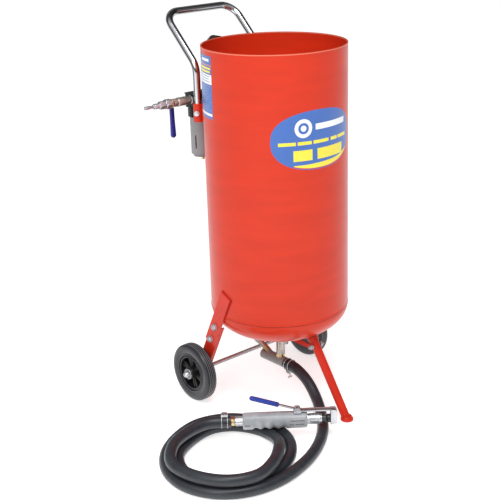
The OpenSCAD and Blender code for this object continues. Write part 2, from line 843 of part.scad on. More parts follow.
module rear_leg_channels() {
    length = leg_l - channel_from + channel_past;
    color("firebrick") for (side = [-1, 1]) difference() {
        rear_leg_frame(side) translate([side > 0 ? -channel_depth : 0.1, -leg_w / 2, channel_from])
            cube([channel_depth - 0.1, leg_w, length]);
        rear_leg_frame(side)
            translate([side > 0 ? -channel_depth - 1 : channel_t + 0.1, channel_t - leg_w / 2, channel_from - 1])
                cube([channel_depth - channel_t + 0.9, leg_w - 2 * channel_t, length + 2]);
        head_solid(0.5);
        at_rear_leg_bolts(side) cylinder(r = 5.2, h = 40, center = true, $fn = small);
        translate([0, axle_y, axle_z]) along_x()
            cylinder(r = axle_r + 0.1, h = 2 * tank_d, center = true);
    }
}

// Bolts through the rear legs and the long bolt through the front leg.
module leg_bolts() {
    color("silver") {
        for (side = [-1, 1]) at_rear_leg_bolts(side) mirror([0, 0, side > 0 ? 0 : 1]) {
            translate([0, 0, -12]) cylinder(r = 5, h = 20, $fn = small);
            translate([0, 0, plate_t + 0.1]) cylinder(r = 10, h = 1.5, $fn = small);
            translate([0, 0, plate_t + 1.6]) hex(16, 6);
            translate([0, 0, -11.4]) hex(16, 8);
        }
        translate([-28, brace_bolt.x, brace_bolt.y]) along_x() {
            cylinder(r = 4, h = 56, $fn = small);
            translate([0, 0, 5]) hex(13, 6);
            translate([0, 0, 43.5]) hex(13, 6);
        }
    }
}

module axle() {
    half = wheel_x + 33;
    color("silver") translate([-half, axle_y, axle_z]) along_x() cylinder(r = axle_r, h = 2 * half);
}

// Washer and domed nut on each end of the axle.
module axle_caps() {
    color("silver") for (side = [-1, 1]) mirror([side > 0 ? 0 : 1, 0, 0])
        translate([hub_out + 0.3, axle_y, axle_z]) along_x() difference() {
            union() {
                cylinder(r = 16, h = 2);
                translate([0, 0, 2]) hex(19, 7);
                translate([0, 0, 8]) cylinder(r1 = 9, r2 = 6, h = 7.2);
            }
            translate([0, 0, -1]) cylinder(r = axle_r, h = 10);
        }
}

module tyre(side) {
    half = wheel_w / 2;
    edge = 7;
    color("black") translate([side * wheel_x, axle_y, axle_z]) along_x()
        rotate_extrude($fn = fine) difference() {
            polygon([
                [bead_r, -half + 1], [wheel_r - edge - 6, -half], [wheel_r - 2, -half + edge - 2],
                [wheel_r, -half + edge + 2], [wheel_r, half - edge - 2], [wheel_r - 2, half - edge + 2],
                [wheel_r - edge - 6, half], [bead_r, half - 1]
            ]);
            for (groove = [-2:2]) translate([wheel_r - 2, groove * 4.6 - 0.8]) square([4, 1.6]);
        }
}

module hub(side) {
    half = wheel_w / 2;
    spokes = 6;
    spoke_end = bead_r - 4;
    color("black") translate([side * wheel_x, axle_y, axle_z]) mirror([side > 0 ? 0 : 1, 0, 0])
        along_x() difference() {
            union() {
                translate([0, 0, 2 - half]) ring(bead_r - 0.02, bead_r - 5, wheel_w - 4);
                translate([0, 0, hub_in - wheel_x]) cylinder(r = hub_boss_r, h = hub_out - hub_in);
                for (turn = [0:360 / spokes:359]) rotate([0, 0, turn]) translate([0, 0, -6])
                    linear_extrude(14) polygon([
                        [hub_boss_r - 3, -4], [spoke_end, -12], [spoke_end, 12], [hub_boss_r - 3, 4]
                    ]);
            }
            translate([0, 0, -60]) cylinder(r = axle_r + 0.06, h = 120);
        }
}

module left_tyre() {
    tyre(-1);
}

module left_hub() {
    hub(-1);
}

module right_tyre() {
    tyre(1);
}

module right_hub() {
    hub(1);
}

// Frame at the foot whose Z axis runs up the front leg.
module front_leg_frame() {
    translate([0, foot_y, 0]) rotate([-front_tilt, 0, 0]) children();
}

module front_leg() {
    color("orangered") difference() {
        union() {
            front_leg_frame() translate([0, 0, -6]) cylinder(r = front_r, h = front_l - 4);
            translate([0, foot_y, 0]) cylinder(r = foot_r, h = foot_t);
            translate([0, foot_y, foot_t]) cylinder(r1 = foot_r, r2 = front_r + 1, h = 8);
        }
        translate([-100, foot_y - 100, -50]) cube([200, 200, 50]);
        front_leg_frame() translate([0, 0, 12]) cylinder(r = front_r - 2, h = front_l);
        translate([0, brace_bolt.x, brace_bolt.y]) along_x()
            cylinder(r = 4.2, h = 80, center = true, $fn = small);
    }
}

module front_leg_socket() {
    color("orangered") difference() {
        front_leg_frame() translate([0, 0, front_l - 14]) ring(front_r + 3, front_r + 0.1, 60);
        head_solid(0.05);
    }
}

// Strap from the front leg bolt back to the bottom head.
module front_brace() {
    color("firebrick") difference() {
        union() {
            translate([-16.5, brace_bolt.x, brace_bolt.y - 7]) cube([3, -46 - brace_bolt.x, 13]);
            translate([-16.5, brace_bolt.x, brace_bolt.y]) along_x() cylinder(r = 7, h = 3);
        }
        head_solid(0.05);
        translate([0, brace_bolt.x, brace_bolt.y]) along_x()
            cylinder(r = 4.2, h = 80, center = true, $fn = small);
    }
}

placed() tank_shell();
placed() hopper_head();
placed() bottom_head();
placed() filler_neck();
placed() tank_bosses();
placed() filler_cap();
placed() cap_gasket();
placed() handle_tube();
placed() handle_sockets();
placed() handle_bolts();
placed() filter_bracket();
placed() filter_head();
placed() filter_bowl_guard();
placed() filter_bowl();
placed() filter_element();
placed() filter_drain();
placed() inlet_valve_body();
placed() inlet_valve_ball();
placed() inlet_lever();
placed() inlet_lever_grip();
placed() quick_plug();
placed() manifold();
placed() manifold_nipples();
placed() relief_valve();
placed() relief_ring();
placed() gauge_case();
placed() gauge_dial();
placed() gauge_lens();
placed() gauge_needle();
placed() air_hose();
placed() choke_valve();
placed() choke_lever();
placed() brass_fittings();
placed() metering_valve();
placed() metering_lever();
placed() mixing_tee();
placed() hose_barb();
placed() hose_clamp();
placed() blast_hose();
placed() gun_clamp();
placed() gun_coupling();
placed() gun_body();
placed() nozzle_nut();
placed() nozzle();
placed() gun_lever();
placed() gun_lever_grip();
placed() gun_lever_pad();
placed() gun_pivot_pin();
placed() rear_leg_plates();
placed() rear_leg_channels();
placed() leg_bolts();
placed() axle();
placed() axle_caps();
placed() left_tyre();
placed() left_hub();
placed() right_tyre();
placed() right_hub();
placed() front_leg();
placed() front_leg_socket();
placed() front_brace();
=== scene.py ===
"""A portable pressure abrasive blaster: red tank on two wheels and a front leg, with its hose and gun."""

import json
import math

import bmesh
import bpy
from mathutils import Matrix, Vector

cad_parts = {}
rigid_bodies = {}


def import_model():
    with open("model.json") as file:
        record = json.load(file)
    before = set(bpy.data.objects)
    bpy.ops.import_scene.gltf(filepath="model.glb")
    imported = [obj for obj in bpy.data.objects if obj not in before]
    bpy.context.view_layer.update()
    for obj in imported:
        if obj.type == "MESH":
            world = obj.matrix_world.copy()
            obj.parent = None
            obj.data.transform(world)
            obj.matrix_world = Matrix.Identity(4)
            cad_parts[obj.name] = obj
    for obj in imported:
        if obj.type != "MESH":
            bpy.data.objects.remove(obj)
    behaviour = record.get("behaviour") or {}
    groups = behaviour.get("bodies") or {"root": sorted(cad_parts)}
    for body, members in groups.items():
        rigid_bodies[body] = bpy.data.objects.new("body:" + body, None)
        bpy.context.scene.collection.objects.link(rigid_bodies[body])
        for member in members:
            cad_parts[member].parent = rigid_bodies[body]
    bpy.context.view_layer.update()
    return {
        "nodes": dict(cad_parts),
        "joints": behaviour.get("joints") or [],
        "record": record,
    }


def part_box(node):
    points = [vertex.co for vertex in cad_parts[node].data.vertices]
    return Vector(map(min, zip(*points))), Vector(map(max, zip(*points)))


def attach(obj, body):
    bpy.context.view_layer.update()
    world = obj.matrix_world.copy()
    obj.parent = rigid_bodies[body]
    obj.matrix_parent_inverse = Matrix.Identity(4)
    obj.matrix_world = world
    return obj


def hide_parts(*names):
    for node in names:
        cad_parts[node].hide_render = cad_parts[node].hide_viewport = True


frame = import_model()

MM = 0.001
UP = Vector((0, 0, 1))
joints = {j["name"]: j for j in frame["joints"]}


def middle(node):
    """The centre of a CAD node's box."""
    low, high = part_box(node)
    return (low + high) / 2


def joint_place(name):
    return Vector(joints[name]["pos_m"])


tank_low, tank_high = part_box("tank_shell")
TANK_R = (tank_high.y - tank_low.y) / 2
TANK_Y = (tank_high.y + tank_low.y) / 2
RIM_Z = tank_high.z
SEAM_Z = tank_low.z
AXIS = Vector((0, TANK_Y, 0))
ON_AXIS = Matrix.Translation(AXIS)


def at_tank(x, y, z):
    """A point given in millimetres from the tank's axis."""
    return Vector((x, y, z)) * MM + AXIS


def move(x=0.0, y=0.0, z=0.0):
    """A shift in millimetres, as a matrix."""
    return Matrix.Translation(Vector((x, y, z)) * MM)


def rotate(degrees, axis="Z"):
    """A turn about one axis, as a matrix."""
    return Matrix.Rotation(math.radians(degrees), 4, axis)


# ---- camera ----


def add_camera():
    """Looks down at the machine from its front left."""
    data = bpy.data.cameras.new("camera")
    data.sensor_width = 36
    data.lens = 78.1
    camera = bpy.data.objects.new("camera", data)
    bpy.context.scene.collection.objects.link(camera)
    heading, downward, roll = -40.26, 19.635, -1.776
    place = Matrix.Translation(AXIS + Vector((-1.9701, -2.1992, 1.4983)))
    camera.matrix_world = place @ rotate(heading) @ rotate(90 - downward, "X") @ rotate(roll)
    bpy.context.scene.camera = camera


add_camera()


# ---- materials ----


def tree(mat):
    """A material's nodes, its links and its shader."""
    nodes = mat.node_tree.nodes
    return nodes, mat.node_tree.links, nodes["Principled BSDF"]


def surface(name, colour, metallic=0.0, rough=0.4, coat=0.0):
    """A plain material, which the finishes below add to."""
    mat = bpy.data.materials.new(name)
    mat.use_nodes = True
    shader = tree(mat)[2]
    settings = (
        ("Base Color", (*colour, 1)), ("Metallic", metallic), ("Roughness", rough),
        ("Coat Weight", coat), ("Coat Roughness", 0.08),
    )
    for setting, value in settings:
        shader.inputs[setting].default_value = value
    return mat


def add_node(nodes, kind, **values):
    """A new node with some of its inputs set; an underscore stands for a space in an input's name."""
    node = nodes.new("ShaderNode" + kind)
    for name, value in values.items():
        node.inputs[name.replace("_", " ")].default_value = value
    return node


def noise(mat, scale, detail=4.0, stretch=(1, 1, 1)):
    """Noise in the object's own coordinates, in metres."""
    nodes, links, _ = tree(mat)
    place = add_node(nodes, "TexCoord")
    mapping = add_node(nodes, "Mapping", Scale=stretch)
    links.new(place.outputs["Object"], mapping.inputs["Vector"])
    cloud = add_node(nodes, "TexNoise", Scale=scale, Detail=detail)
    links.new(mapping.outputs["Vector"], cloud.inputs["Vector"])
    return cloud.outputs["Fac"]


def vary_rough(mat, source, low, high):
    """Roughness between two values."""
    nodes, links, shader = tree(mat)
    spread = add_node(nodes, "MapRange", From_Min=0.3, From_Max=0.7, To_Min=low, To_Max=high)
    links.new(source, spread.inputs["Value"])
    links.new(spread.outputs["Result"], shader.inputs["Roughness"])


def vary_colour(mat, source, first, second):
    """Base colour between two colours."""
    nodes, links, shader = tree(mat)
    ramp = nodes.new("ShaderNodeValToRGB")
    for stop, place, colour in zip(ramp.color_ramp.elements, (0.35, 0.65), (first, second)):
        stop.position = place
        stop.color = (*colour, 1)
    links.new(source, ramp.inputs["Fac"])
    links.new(ramp.outputs["Color"], shader.inputs["Base Color"])


def bump(mat, source, strength, depth):
    """Fine relief."""
    nodes, links, shader = tree(mat)
    relief = add_node(nodes, "Bump", Strength=strength, Distance=depth)
    links.new(source, relief.inputs["Height"])
    links.new(relief.outputs["Normal"], shader.inputs["Normal"])


def enamel(name, colour, rough=0.3, coat=0.1):
    """Sprayed paint: a slight orange peel and a little unevenness in tone."""
    mat = surface(name, colour, rough=rough, coat=coat)
    tree(mat)[2].inputs["Specular IOR Level"].default_value = 0.22
    darker = tuple(c * 0.93 for c in colour)
    vary_colour(mat, noise(mat, 7, 2, (1, 1, 5)), darker, colour)
    vary_rough(mat, noise(mat, 18, 2), rough * 0.95, rough * 1.1)
    bump(mat, noise(mat, 420, 1), 0.02, 0.0004)
    return mat


def plated(name, colour, rough):
    """Bare or plated metal, with fine marks."""
    mat = surface(name, colour, metallic=1.0, rough=rough)
    marks = noise(mat, 90, 5)
    darker = tuple(c * 0.8 for c in colour)
    vary_colour(mat, marks, darker, colour)
    vary_rough(mat, marks, rough * 0.7, min(rough * 1.5, 1))
    bump(mat, noise(mat, 270, 3), 0.05, 0.0004)
    return mat


def reflection_painted_plating(name, tint, rough, bands, metallic=1.0):
    """Bright plating with painted reflection: the dark and light bands a studio would reflect are painted
    into the base colour by how far the surface turns from the view; bands are (place, level) pairs.
    """
    mat = surface(name, tint, metallic=metallic, rough=rough)
    nodes, links, shader = tree(mat)
    turned_away = add_node(nodes, "LayerWeight", Blend=0.5)
    ramp = nodes.new("ShaderNodeValToRGB")
    stops = ramp.color_ramp.elements
    for k, (position, level) in enumerate(bands):
        stop = stops[k] if k < 2 else stops.new(position)
        stop.position = position
        stop.color = (*[c * level for c in tint], 1)
    links.new(turned_away.outputs["Facing"], ramp.inputs["Fac"])
    links.new(ramp.outputs["Color"], shader.inputs["Base Color"])
    vary_rough(mat, noise(mat, 40), rough * 0.75, rough * 1.4)
    bump(mat, noise(mat, 300, 2), 0.03, 0.0003)
    return mat


def moulded(name, colour, rough, grain=900):
    """Plastic or rubber from a mould, with a fine grain."""
    mat = surface(name, colour, rough=rough)
    lighter = tuple(min(c * 1.25 + 0.004, 1) for c in colour)
    vary_colour(mat, noise(mat, 30), colour, lighter)
    vary_rough(mat, noise(mat, 60), rough * 0.85, min(rough * 1.15, 1))
    bump(mat, noise(mat, grain, 2), 0.15, 0.0003)
    return mat


def clear(name, colour, alpha):
    """Glass or clear plastic."""
    rough = 0.05
    mat = surface(name, colour, rough=rough)
    tree(mat)[2].inputs["Alpha"].default_value = alpha
    vary_rough(mat, noise(mat, 40), rough, rough * 2)
    return mat


def printed(name, colour):
    """Ink on a glossy vinyl label."""
    mat = surface(name, colour, rough=0.35, coat=0.3)
    lighter = tuple(min(c * 1.08, 1) for c in colour)
    vary_colour(mat, noise(mat, 12), colour, lighter)
    return mat


RED = (0.66, 0.036, 0.010)
# Painted reflection: levels of studio bands, painted onto tube and plating by how far each surface turns from
# the view.
TUBE_REFLECTION_BANDS = (
    (0.0, 0.45), (1.0, 0.15), (0.10, 0.95), (0.20, 0.55),
    (0.30, 0.09), (0.46, 0.07), (0.56, 0.7), (0.78, 0.12),
)
PLATE_REFLECTION_BANDS = ((0.0, 0.95), (1.0, 0.30), (0.22, 0.75), (0.36, 0.32), (0.52, 0.22), (0.62, 0.9), (0.80, 0.35))
FINISH = {
    "tank_paint": enamel("tank_red", RED),
    "leg_paint": enamel("leg_red", (0.66, 0.030, 0.012), rough=0.28),
    # Chrome, zinc and nickel carry painted reflection bands in their colour.
    "handle_chrome": reflection_painted_plating("bright_chrome", (0.95, 0.96, 1.0), 0.09, TUBE_REFLECTION_BANDS),
    "zinc": reflection_painted_plating("zinc_plate", (0.88, 0.90, 0.94), 0.26, PLATE_REFLECTION_BANDS, 0.6),
    "nickel": reflection_painted_plating("nickel_plate", (0.86, 0.82, 0.74), 0.26, PLATE_REFLECTION_BANDS, 0.6),
    "brass": plated("turned_brass", (0.80, 0.60, 0.28), 0.25),
    "black_enamel": enamel("black_enamel", (0.005, 0.005, 0.006), rough=0.3),
    "grey_enamel": enamel("grey_enamel", (0.30, 0.30, 0.31), rough=0.4, coat=0.1),
    "clear_bowl": clear("clear_bowl", (0.05, 0.055, 0.06), alpha=0.75),
    "filter_white": moulded("filter_white", (0.75, 0.75, 0.70), 0.8),
    "lever_blue": moulded("dark_blue_vinyl", (0.008, 0.016, 0.20), 0.3),
    "gun_blue": moulded("blue_vinyl", (0.014, 0.040, 0.30), 0.35),
    "hub_black": moulded("hub_black", (0.012, 0.012, 0.013), 0.42),
    "tyre": moulded("tyre_rubber", (0.013, 0.015, 0.019), 0.33),
    "air_hose": moulded("air_hose_rubber", (0.03, 0.03, 0.032), 0.5),
    "blast_hose": moulded("blast_hose_rubber", (0.020, 0.024, 0.031), 0.40, 500),
    "gun_grey": moulded("gun_grey", (0.37, 0.39, 0.41), 0.36),
    "seal": moulded("seal_rubber", (0.01, 0.01, 0.011), 0.35),
    "ceramic": moulded("nozzle_grey", (0.035, 0.036, 0.038), 0.35),
    "gauge_face": printed("dial_white", (0.85, 0.85, 0.83)),
    "gauge_glass": clear("gauge_glass", (0.9, 0.95, 0.97), alpha=0.2),
    "tee_grey": enamel("tee_grey", (0.30, 0.30, 0.30), rough=0.45, coat=0.0),
}
LABEL_BLUE = printed("label_blue", (0.040, 0.135, 0.46))
LABEL_PALE_BLUE = printed("label_pale_blue", (0.12, 0.24, 0.56))
LABEL_YELLOW = printed("label_yellow", (0.88, 0.74, 0.05))
LABEL_WHITE = printed("label_white", (0.86, 0.87, 0.88))
LABEL_RED = printed("label_red", (0.65, 0.01, 0.03))
LABEL_ORANGE = printed("label_orange", (0.85, 0.25, 0.03))
# A lighter red for the rim's rolled edge: painted highlight where the rim catches the light.
RIM_PAINTED_HIGHLIGHT = enamel("rim_edge", (0.80, 0.20, 0.12))
# A lighter grey for the tread's ribs: painted highlight, the sheen the ribs catch.
TREAD_PAINTED_HIGHLIGHT = moulded("tread_painted_highlight", (0.15, 0.155, 0.165), 0.35)
LEVER_STEEL = reflection_painted_plating("lever_steel", (0.80, 0.82, 0.86), 0.4, PLATE_REFLECTION_BANDS, 0.7)
# A dark grey for the raised panels on the gun: painted shadow lines at the moulded outlines.
PANEL_PAINTED_SHADE = moulded("gun_shadow_grey", (0.10, 0.105, 0.11), 0.5)
# A darker red for the weld beads: painted shade along the welds.
WELD_PAINTED_SHADE = enamel("weld_painted_shade", (0.38, 0.016, 0.009))
SEAM_SHADOW = enamel("seam_red", (0.30, 0.018, 0.010))


def paint_cad_nodes():
    """Every CAD node takes the finish of its own material slot."""
    for part in frame["record"]["subparts"]:
        mesh = frame["nodes"][part["node"]].data
        mesh.materials.clear()
        mesh.materials.append(FINISH[part["material_slot"]])


paint_cad_nodes()


# ---- shapes ----


def finish_piece(obj, body, slot, material=None):
    """Gives a piece its finish and the body it rides on."""
    obj.data.materials.append(material or FINISH[slot])
    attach(obj, body)
    return obj


def mesh_piece(name, shape, body, slot, material=None, sharp=35, place=None):
    """A mesh piece, shaded smooth except across edges sharper than the given angle."""
    points, faces = shape
    mesh = bpy.data.meshes.new(name)
    mesh.from_pydata([tuple(p) for p in points], [], faces)
    mesh.validate()
    build = bmesh.new()
    build.from_mesh(mesh)
    bmesh.ops.recalc_face_normals(build, faces=build.faces)
    build.to_mesh(mesh)
    build.free()
    if place is not None:
        mesh.transform(place)
    mesh.shade_smooth()
    mesh.set_sharp_from_angle(angle=math.radians(sharp))
    obj = bpy.data.objects.new(name, mesh)
    bpy.context.scene.collection.objects.link(obj)
    return finish_piece(obj, body, slot, material)


def facing(origin, direction, across=None):
    """The matrix that puts Z along a direction, at an origin, and X as near as it can to across."""
    z = Vector(direction).normalized()
    if across is None:
        across = (1, 0, 0) if abs(z.x) < 0.9 else (0, 1, 0)
    x = Vector(across)
    x = (x - z * x.dot(z)).normalized()
    turn = Matrix((x, z.cross(x), z)).transposed().to_4x4()
    return Matrix.Translation(origin) @ turn


def merge(*shapes):
    """Several closed shapes as one."""
    points, faces = [], []
    for more_points, more_faces in shapes:
        start = len(points)
        points += more_points
        faces += [[start + i for i in face] for face in more_faces]
    return points, faces


def placed(shape, matrix):
    points, faces = shape
    return [matrix @ Vector(p) for p in points], faces


def shifted(shape, x=0.0, y=0.0, z=0.0):
    return placed(shape, move(x, y, z))


def wall_faces(steps, size):
    """The faces between rings of points that close on themselves, the last ring meeting the first."""
    faces = []
    for i in range(steps):
        j = (i + 1) % steps
        for k in range(size):
            m = (k + 1) % size
            faces.append((i * size + k, j * size + k, j * size + m, i * size + m))
    return faces


def turned(profile, steps=64):
    """A closed outline of (radius, height) in millimetres turned about Z."""
    points = []
    for i in range(steps):
        a = 2 * math.pi * i / steps
        points += [Vector((r * math.cos(a), r * math.sin(a), z)) * MM for r, z in profile]
    return points, wall_faces(steps, len(profile))


def bent(a, b, c, t):
    """The place at fraction t of a curve from a to c that is drawn towards b."""
    return (1 - t) ** 2 * a + 2 * t * (1 - t) * b + t * t * c


def rounded(profile, size, steps=4):
    """The same outline with its corners rounded."""
    out = []
    count = len(profile)
    for i in range(count):
        here = Vector(profile[i])
        before, after = Vector(profile[i - 1]), Vector(profile[(i + 1) % count])
        reach = min(size, (before - here).length * 0.45, (after - here).length * 0.45)
        a = here + (before - here).normalized() * reach
        b = here + (after - here).normalized() * reach
        out += [tuple(bent(a, here, b, k / steps)) for k in range(steps + 1)]
    return out


def stepped(stretches, bore=0.5, edge=0.7, steps=64):
    """A bar turned to stepped radii: (start, end, radius) in millimetres along Z."""
    outline = [(bore, stretches[0][0])]
    for start, end, radius in stretches:
        outline += [(radius, start), (radius, end)]
    outline.append((bore, stretches[-1][1]))
    corners = [outline[0]]
    for point in outline[1:]:
        if (Vector(point) - Vector(corners[-1])).length > 1e-6:
            corners.append(point)
    return turned(rounded(corners, edge, 3), steps)


def prism(outline, height, edge=0.6):
    """A flat outline in millimetres given a height along Z, with bevelled edges."""
    build = bmesh.new()
    face = build.faces.new([build.verts.new((x * MM, y * MM, 0)) for x, y in outline])
    top = bmesh.ops.extrude_face_region(build, geom=[face])
    risen = [v for v in top["geom"] if isinstance(v, bmesh.types.BMVert)]
    bmesh.ops.translate(build, verts=risen, vec=(0, 0, height * MM))
    if edge:
        sharp = [e for e in build.edges if e.calc_face_angle(0) > math.radians(25)]
        bmesh.ops.bevel(
            build, geom=sharp, offset=edge * MM, segments=3, profile=0.5, affect="EDGES"
        )
    build.verts.index_update()
    points = [v.co.copy() for v in build.verts]
    faces = [[v.index for v in f.verts] for f in build.faces]
    build.free()
    return points, faces


def hexagon(flats, height, start=0.0):
    """A hexagon bar or nut with its corners chamfered, from a start along Z."""
    bore, steps = 0.5, 72
    corner = flats / 2 / math.cos(math.radians(30))
    cham = (corner - flats / 2) * 0.6
    points = []
    for i in range(steps):
        a = 2 * math.pi * i / steps
        off = (math.degrees(a) + 30) % 60 - 30
        flat_r = flats / 2 / math.cos(math.radians(off))
        end_r = min(flat_r, flats / 2 * 1.02)
        low = [(bore, 0), (end_r - 0.4, 0), (end_r, 0.2), (flat_r, cham)]
        ring = low + [(r, height - z) for r, z in reversed(low)]
        points += [Vector((r * math.cos(a), r * math.sin(a), start + z)) * MM for r, z in ring]
    return points, wall_faces(steps, len(ring))


def ring_bar(ring_r, wire_r, steps=64):
    """A round wire bent into a ring, flat on Z = 0."""
    angles = [2 * math.pi * k / 12 for k in range(12)]
    return turned([(ring_r + wire_r * math.cos(a), wire_r * math.sin(a)) for a in angles], steps)


def loft(sections):
    """A closed body through rings of points, in metres, with flat ends."""
    size = len(sections[0])
    points = [p for ring in sections for p in ring]
    faces = [tuple(range(size)), tuple(len(points) - size + k for k in reversed(range(size)))]
    for i in range(len(sections) - 1):
        for k in range(size):
            m = (k + 1) % size
            faces.append((i * size + k, i * size + m, (i + 1) * size + m, (i + 1) * size + k))
    return points, faces


def box_outline(width, depth):
    x, y = width / 2, depth / 2
    return [(-x, -y), (x, -y), (x, y), (-x, y)]


def slot_outline(length, width, steps=10):
    """A bar outline with round ends, running along X from 0."""
    r = width / 2
    outline = []
    for centre, quarter in ((length - r, -0.5), (r, 0.5)):
        for k in range(steps + 1):
            a = math.pi * (k / steps + quarter)
            outline.append((centre + r * math.cos(a), r * math.sin(a)))
    return outline


def rod(name, path, radius, body, slot, sides=8):
    """A round bar along points in metres."""
    data = bpy.data.curves.new(name, "CURVE")
    data.dimensions = "3D"
    data.bevel_depth = radius
    data.bevel_resolution = sides
    data.use_fill_caps = True
    data.resolution_u = 1
    spline = data.splines.new("POLY")
    spline.points.add(len(path) - 1)
    for point, place in zip(spline.points, path):
        point.co = (*place, 1)
    obj = bpy.data.objects.new(name, data)
    bpy.context.scene.collection.objects.link(obj)
    return finish_piece(obj, body, slot)


def round_corner(before, corner, after, radius, steps=12):
    """The bend of a bar at a corner, as points."""
    a, b = (before - corner).normalized(), (after - corner).normalized()
    half = a.angle(b) / 2
    reach = radius / math.tan(half)
    centre = corner + (a + b).normalized() * (radius / math.sin(half))
    start = corner + a * reach - centre
    end = corner + b * reach - centre
    axis, angle = start.cross(end).normalized(), start.angle(end)
    return [centre + Matrix.Rotation(angle * k / steps, 3, axis) @ start for k in range(steps + 1)]


def grip_sections(length, widths, depths, steps=28, sides=24):
    """Rings for a soft dipped grip along Z with a rounded tip, its sizes given as (start, middle, end)."""
    rings = []
    for i in range(steps + 1):
        t = i / steps
        wide, deep = bent(*widths, t), bent(*depths, t)
        close = 1.0
        tip = wide / 2 / length
        if t > 1 - tip:
            close = math.sqrt(max(1 - ((t - 1 + tip) / tip) ** 2, 0.0004))
        if t < 0.04:
            close = 0.9 + 0.1 * t / 0.04
        ring = []
        for k in range(sides):
            a = 2 * math.pi * k / sides
            c, s = math.cos(a), math.sin(a)
            x = math.copysign(abs(c) ** 0.75, c) * wide / 2 * close
            y = math.copysign(abs(s) ** 0.75, s) * deep / 2 * (0.35 + 0.65 * close)
            ring.append(Vector((x, y, t * length)) * MM)
        rings.append(ring)
    return rings


# ---- blast hose ----

HOSE_D = 0.032
HOSE_R = HOSE_D / 2
HOSE_ROUTE = [
    (0, -24.5, 91), (0, -70, 86), (-3, -120, 64), (-20, -175, 32),
    (-60, -235, 16), (-120, -300, 16), (-195, -352, 16), (-280, -387, 16),
    (-370, -402, 16), (-455, -388, 16), (-525, -340, 16), (-563, -262, 16),
    (-556, -175, 16), (-508, -98, 16), (-430, -46, 16), (-340, -27, 16),
    (-258, -62, 16), (-210, -133, 16), (-200, -215, 16), (-232, -292, 16),
    (-300, -348, 16), (-385, -365, 16), (-465, -343, 16), (-518, -280, 16),
    (-524, -200, 16), (-485, -125, 16), (-410, -84, 16), (-333, -72, 16),
    (-277, -100, 16), (-243, -155, 16), (-236, -212, 17), (-258, -270, 30),
    (-302, -322, 46), (-360, -366, 50), (-432, -388, 50), (-505, -356, 50),
    (-552, -280, 50), (-556, -194, 50), (-506, -128, 51), (-440, -98, 52),
    (-366, -96, 54), (-309, -134, 55),
]


def smooth_route(points, steps):
    """A curve through every point, never lower than the hose's own radius."""
    ends = [points[0] * 2 - points[1], *points, points[-1] * 2 - points[-2]]
    out = []
    for i in range(len(points) - 1):
        a, b, c, d = ends[i : i + 4]
        for k in range(steps):
            t = k / steps
            p = 0.5 * (
                2 * b + (c - a) * t + (2 * a - 5 * b + 4 * c - d) * t**2 + (3 * b - a - 3 * c + d) * t**3
            )
            p.z = max(p.z, HOSE_R)
            out.append(p)
    return [*out, points[-1]]


def add_blast_hose():
    path = smooth_route([at_tank(*p) for p in HOSE_ROUTE], 8)
    hose = rod("blast_hose_rubber", path, HOSE_R, "machine", "blast_hose", sides=10)
    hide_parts("blast_hose")
    return hose, path


hose, hose_path = add_blast_hose()


# ---- gun ----

PIVOT = joint_place("gun_trigger_squeeze")
SIDE = -Vector(joints["gun_trigger_squeeze"]["axis"]).normalized()
AHEAD = SIDE.cross(UP)
GUN = Matrix((AHEAD, SIDE, UP)).transposed().to_4x4()
PIVOT_X, PIVOT_Z = 150, 31
GUN.translation = PIVOT - AHEAD * PIVOT_X * MM - UP * PIVOT_Z * MM
ALONG = GUN @ rotate(90, "Y")
BODY_L = 176.0
TEE_CLAMP = at_tank(0, -39, 90)


def gun_section(x):
    """One ring of the moulded grip: a soft square with finger grooves low on both sides."""
    swell = 1.0 + 0.025 * math.sin(math.pi * x / BODY_L)
    ends = min(x, BODY_L - x)
    close = 1 - 0.10 * max(1 - ends / 4.0, 0) ** 2
    groove = 0.0
    if 24 < x < 124:
        groove = 0.5 - 0.5 * math.cos(2 * math.pi * (x - 24) / 25)
    ring = []
    sides = 48
    for k in range(sides):
        a = 2 * math.pi * k / sides
        c, s = math.cos(a), math.sin(a)
        y = math.copysign(abs(c) ** 0.80, c)
        z = math.copysign(abs(s) ** 0.80, s)
        low = min(max(0.75 - s, 0), 1.0)
        r = 22.0 * swell * close - 4.0 * groove * low
        ring.append(Vector((x, y * r, z * r - 0.4)) * MM)
    return ring


def add_gun_body():
    heel = [0, 0.7, 1.6, 3, 4.5]
    stations = [*heel, *range(6, 171, 2), *[BODY_L - x for x in reversed(heel)]]
    shell = loft([gun_section(x) for x in stations])
    ear = prism([(-10, -9), (10, -9), (9, 2.5), (4.5, 6.2), (-4.5, 6.2), (-9, 2.5)], 3, edge=0.7)
    cheek = prism([(-11, 0), (11, 0), (10, 5.5), (-10, 5.5)], 1.2, edge=0.4)
    ears, cheeks = [], []
    for side in (-1, 1):
        ears.append(placed(ear, GUN @ move(PIVOT_X, side * 10.5 + 1.5, PIVOT_Z) @ rotate(90, "X")))
        cheeks.append(placed(cheek, GUN @ move(PIVOT_X, side * 12.2 + 0.6, 23.5) @ rotate(90, "X")))
    body = merge(placed(shell, GUN), *ears)
    piece = mesh_piece("gun_grip_moulding", body, "machine", "gun_grey", sharp=40)
    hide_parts("gun_body")
    mesh_piece("gun_pivot_saddle", merge(*cheeks), "machine", "zinc")


def side_outline(x, z, length, height, side, name):
    """A low raised panel on the gun's side."""
    panel = prism(box_outline(length, height), 0.9, edge=0.3)
    place = GUN @ move(x, side * 22.2, z) @ rotate(-90 * side, "X")
    # The panels take the dark grey: painted shade.
    mesh_piece(name, panel, "machine", "gun_grey", PANEL_PAINTED_SHADE, place=place)


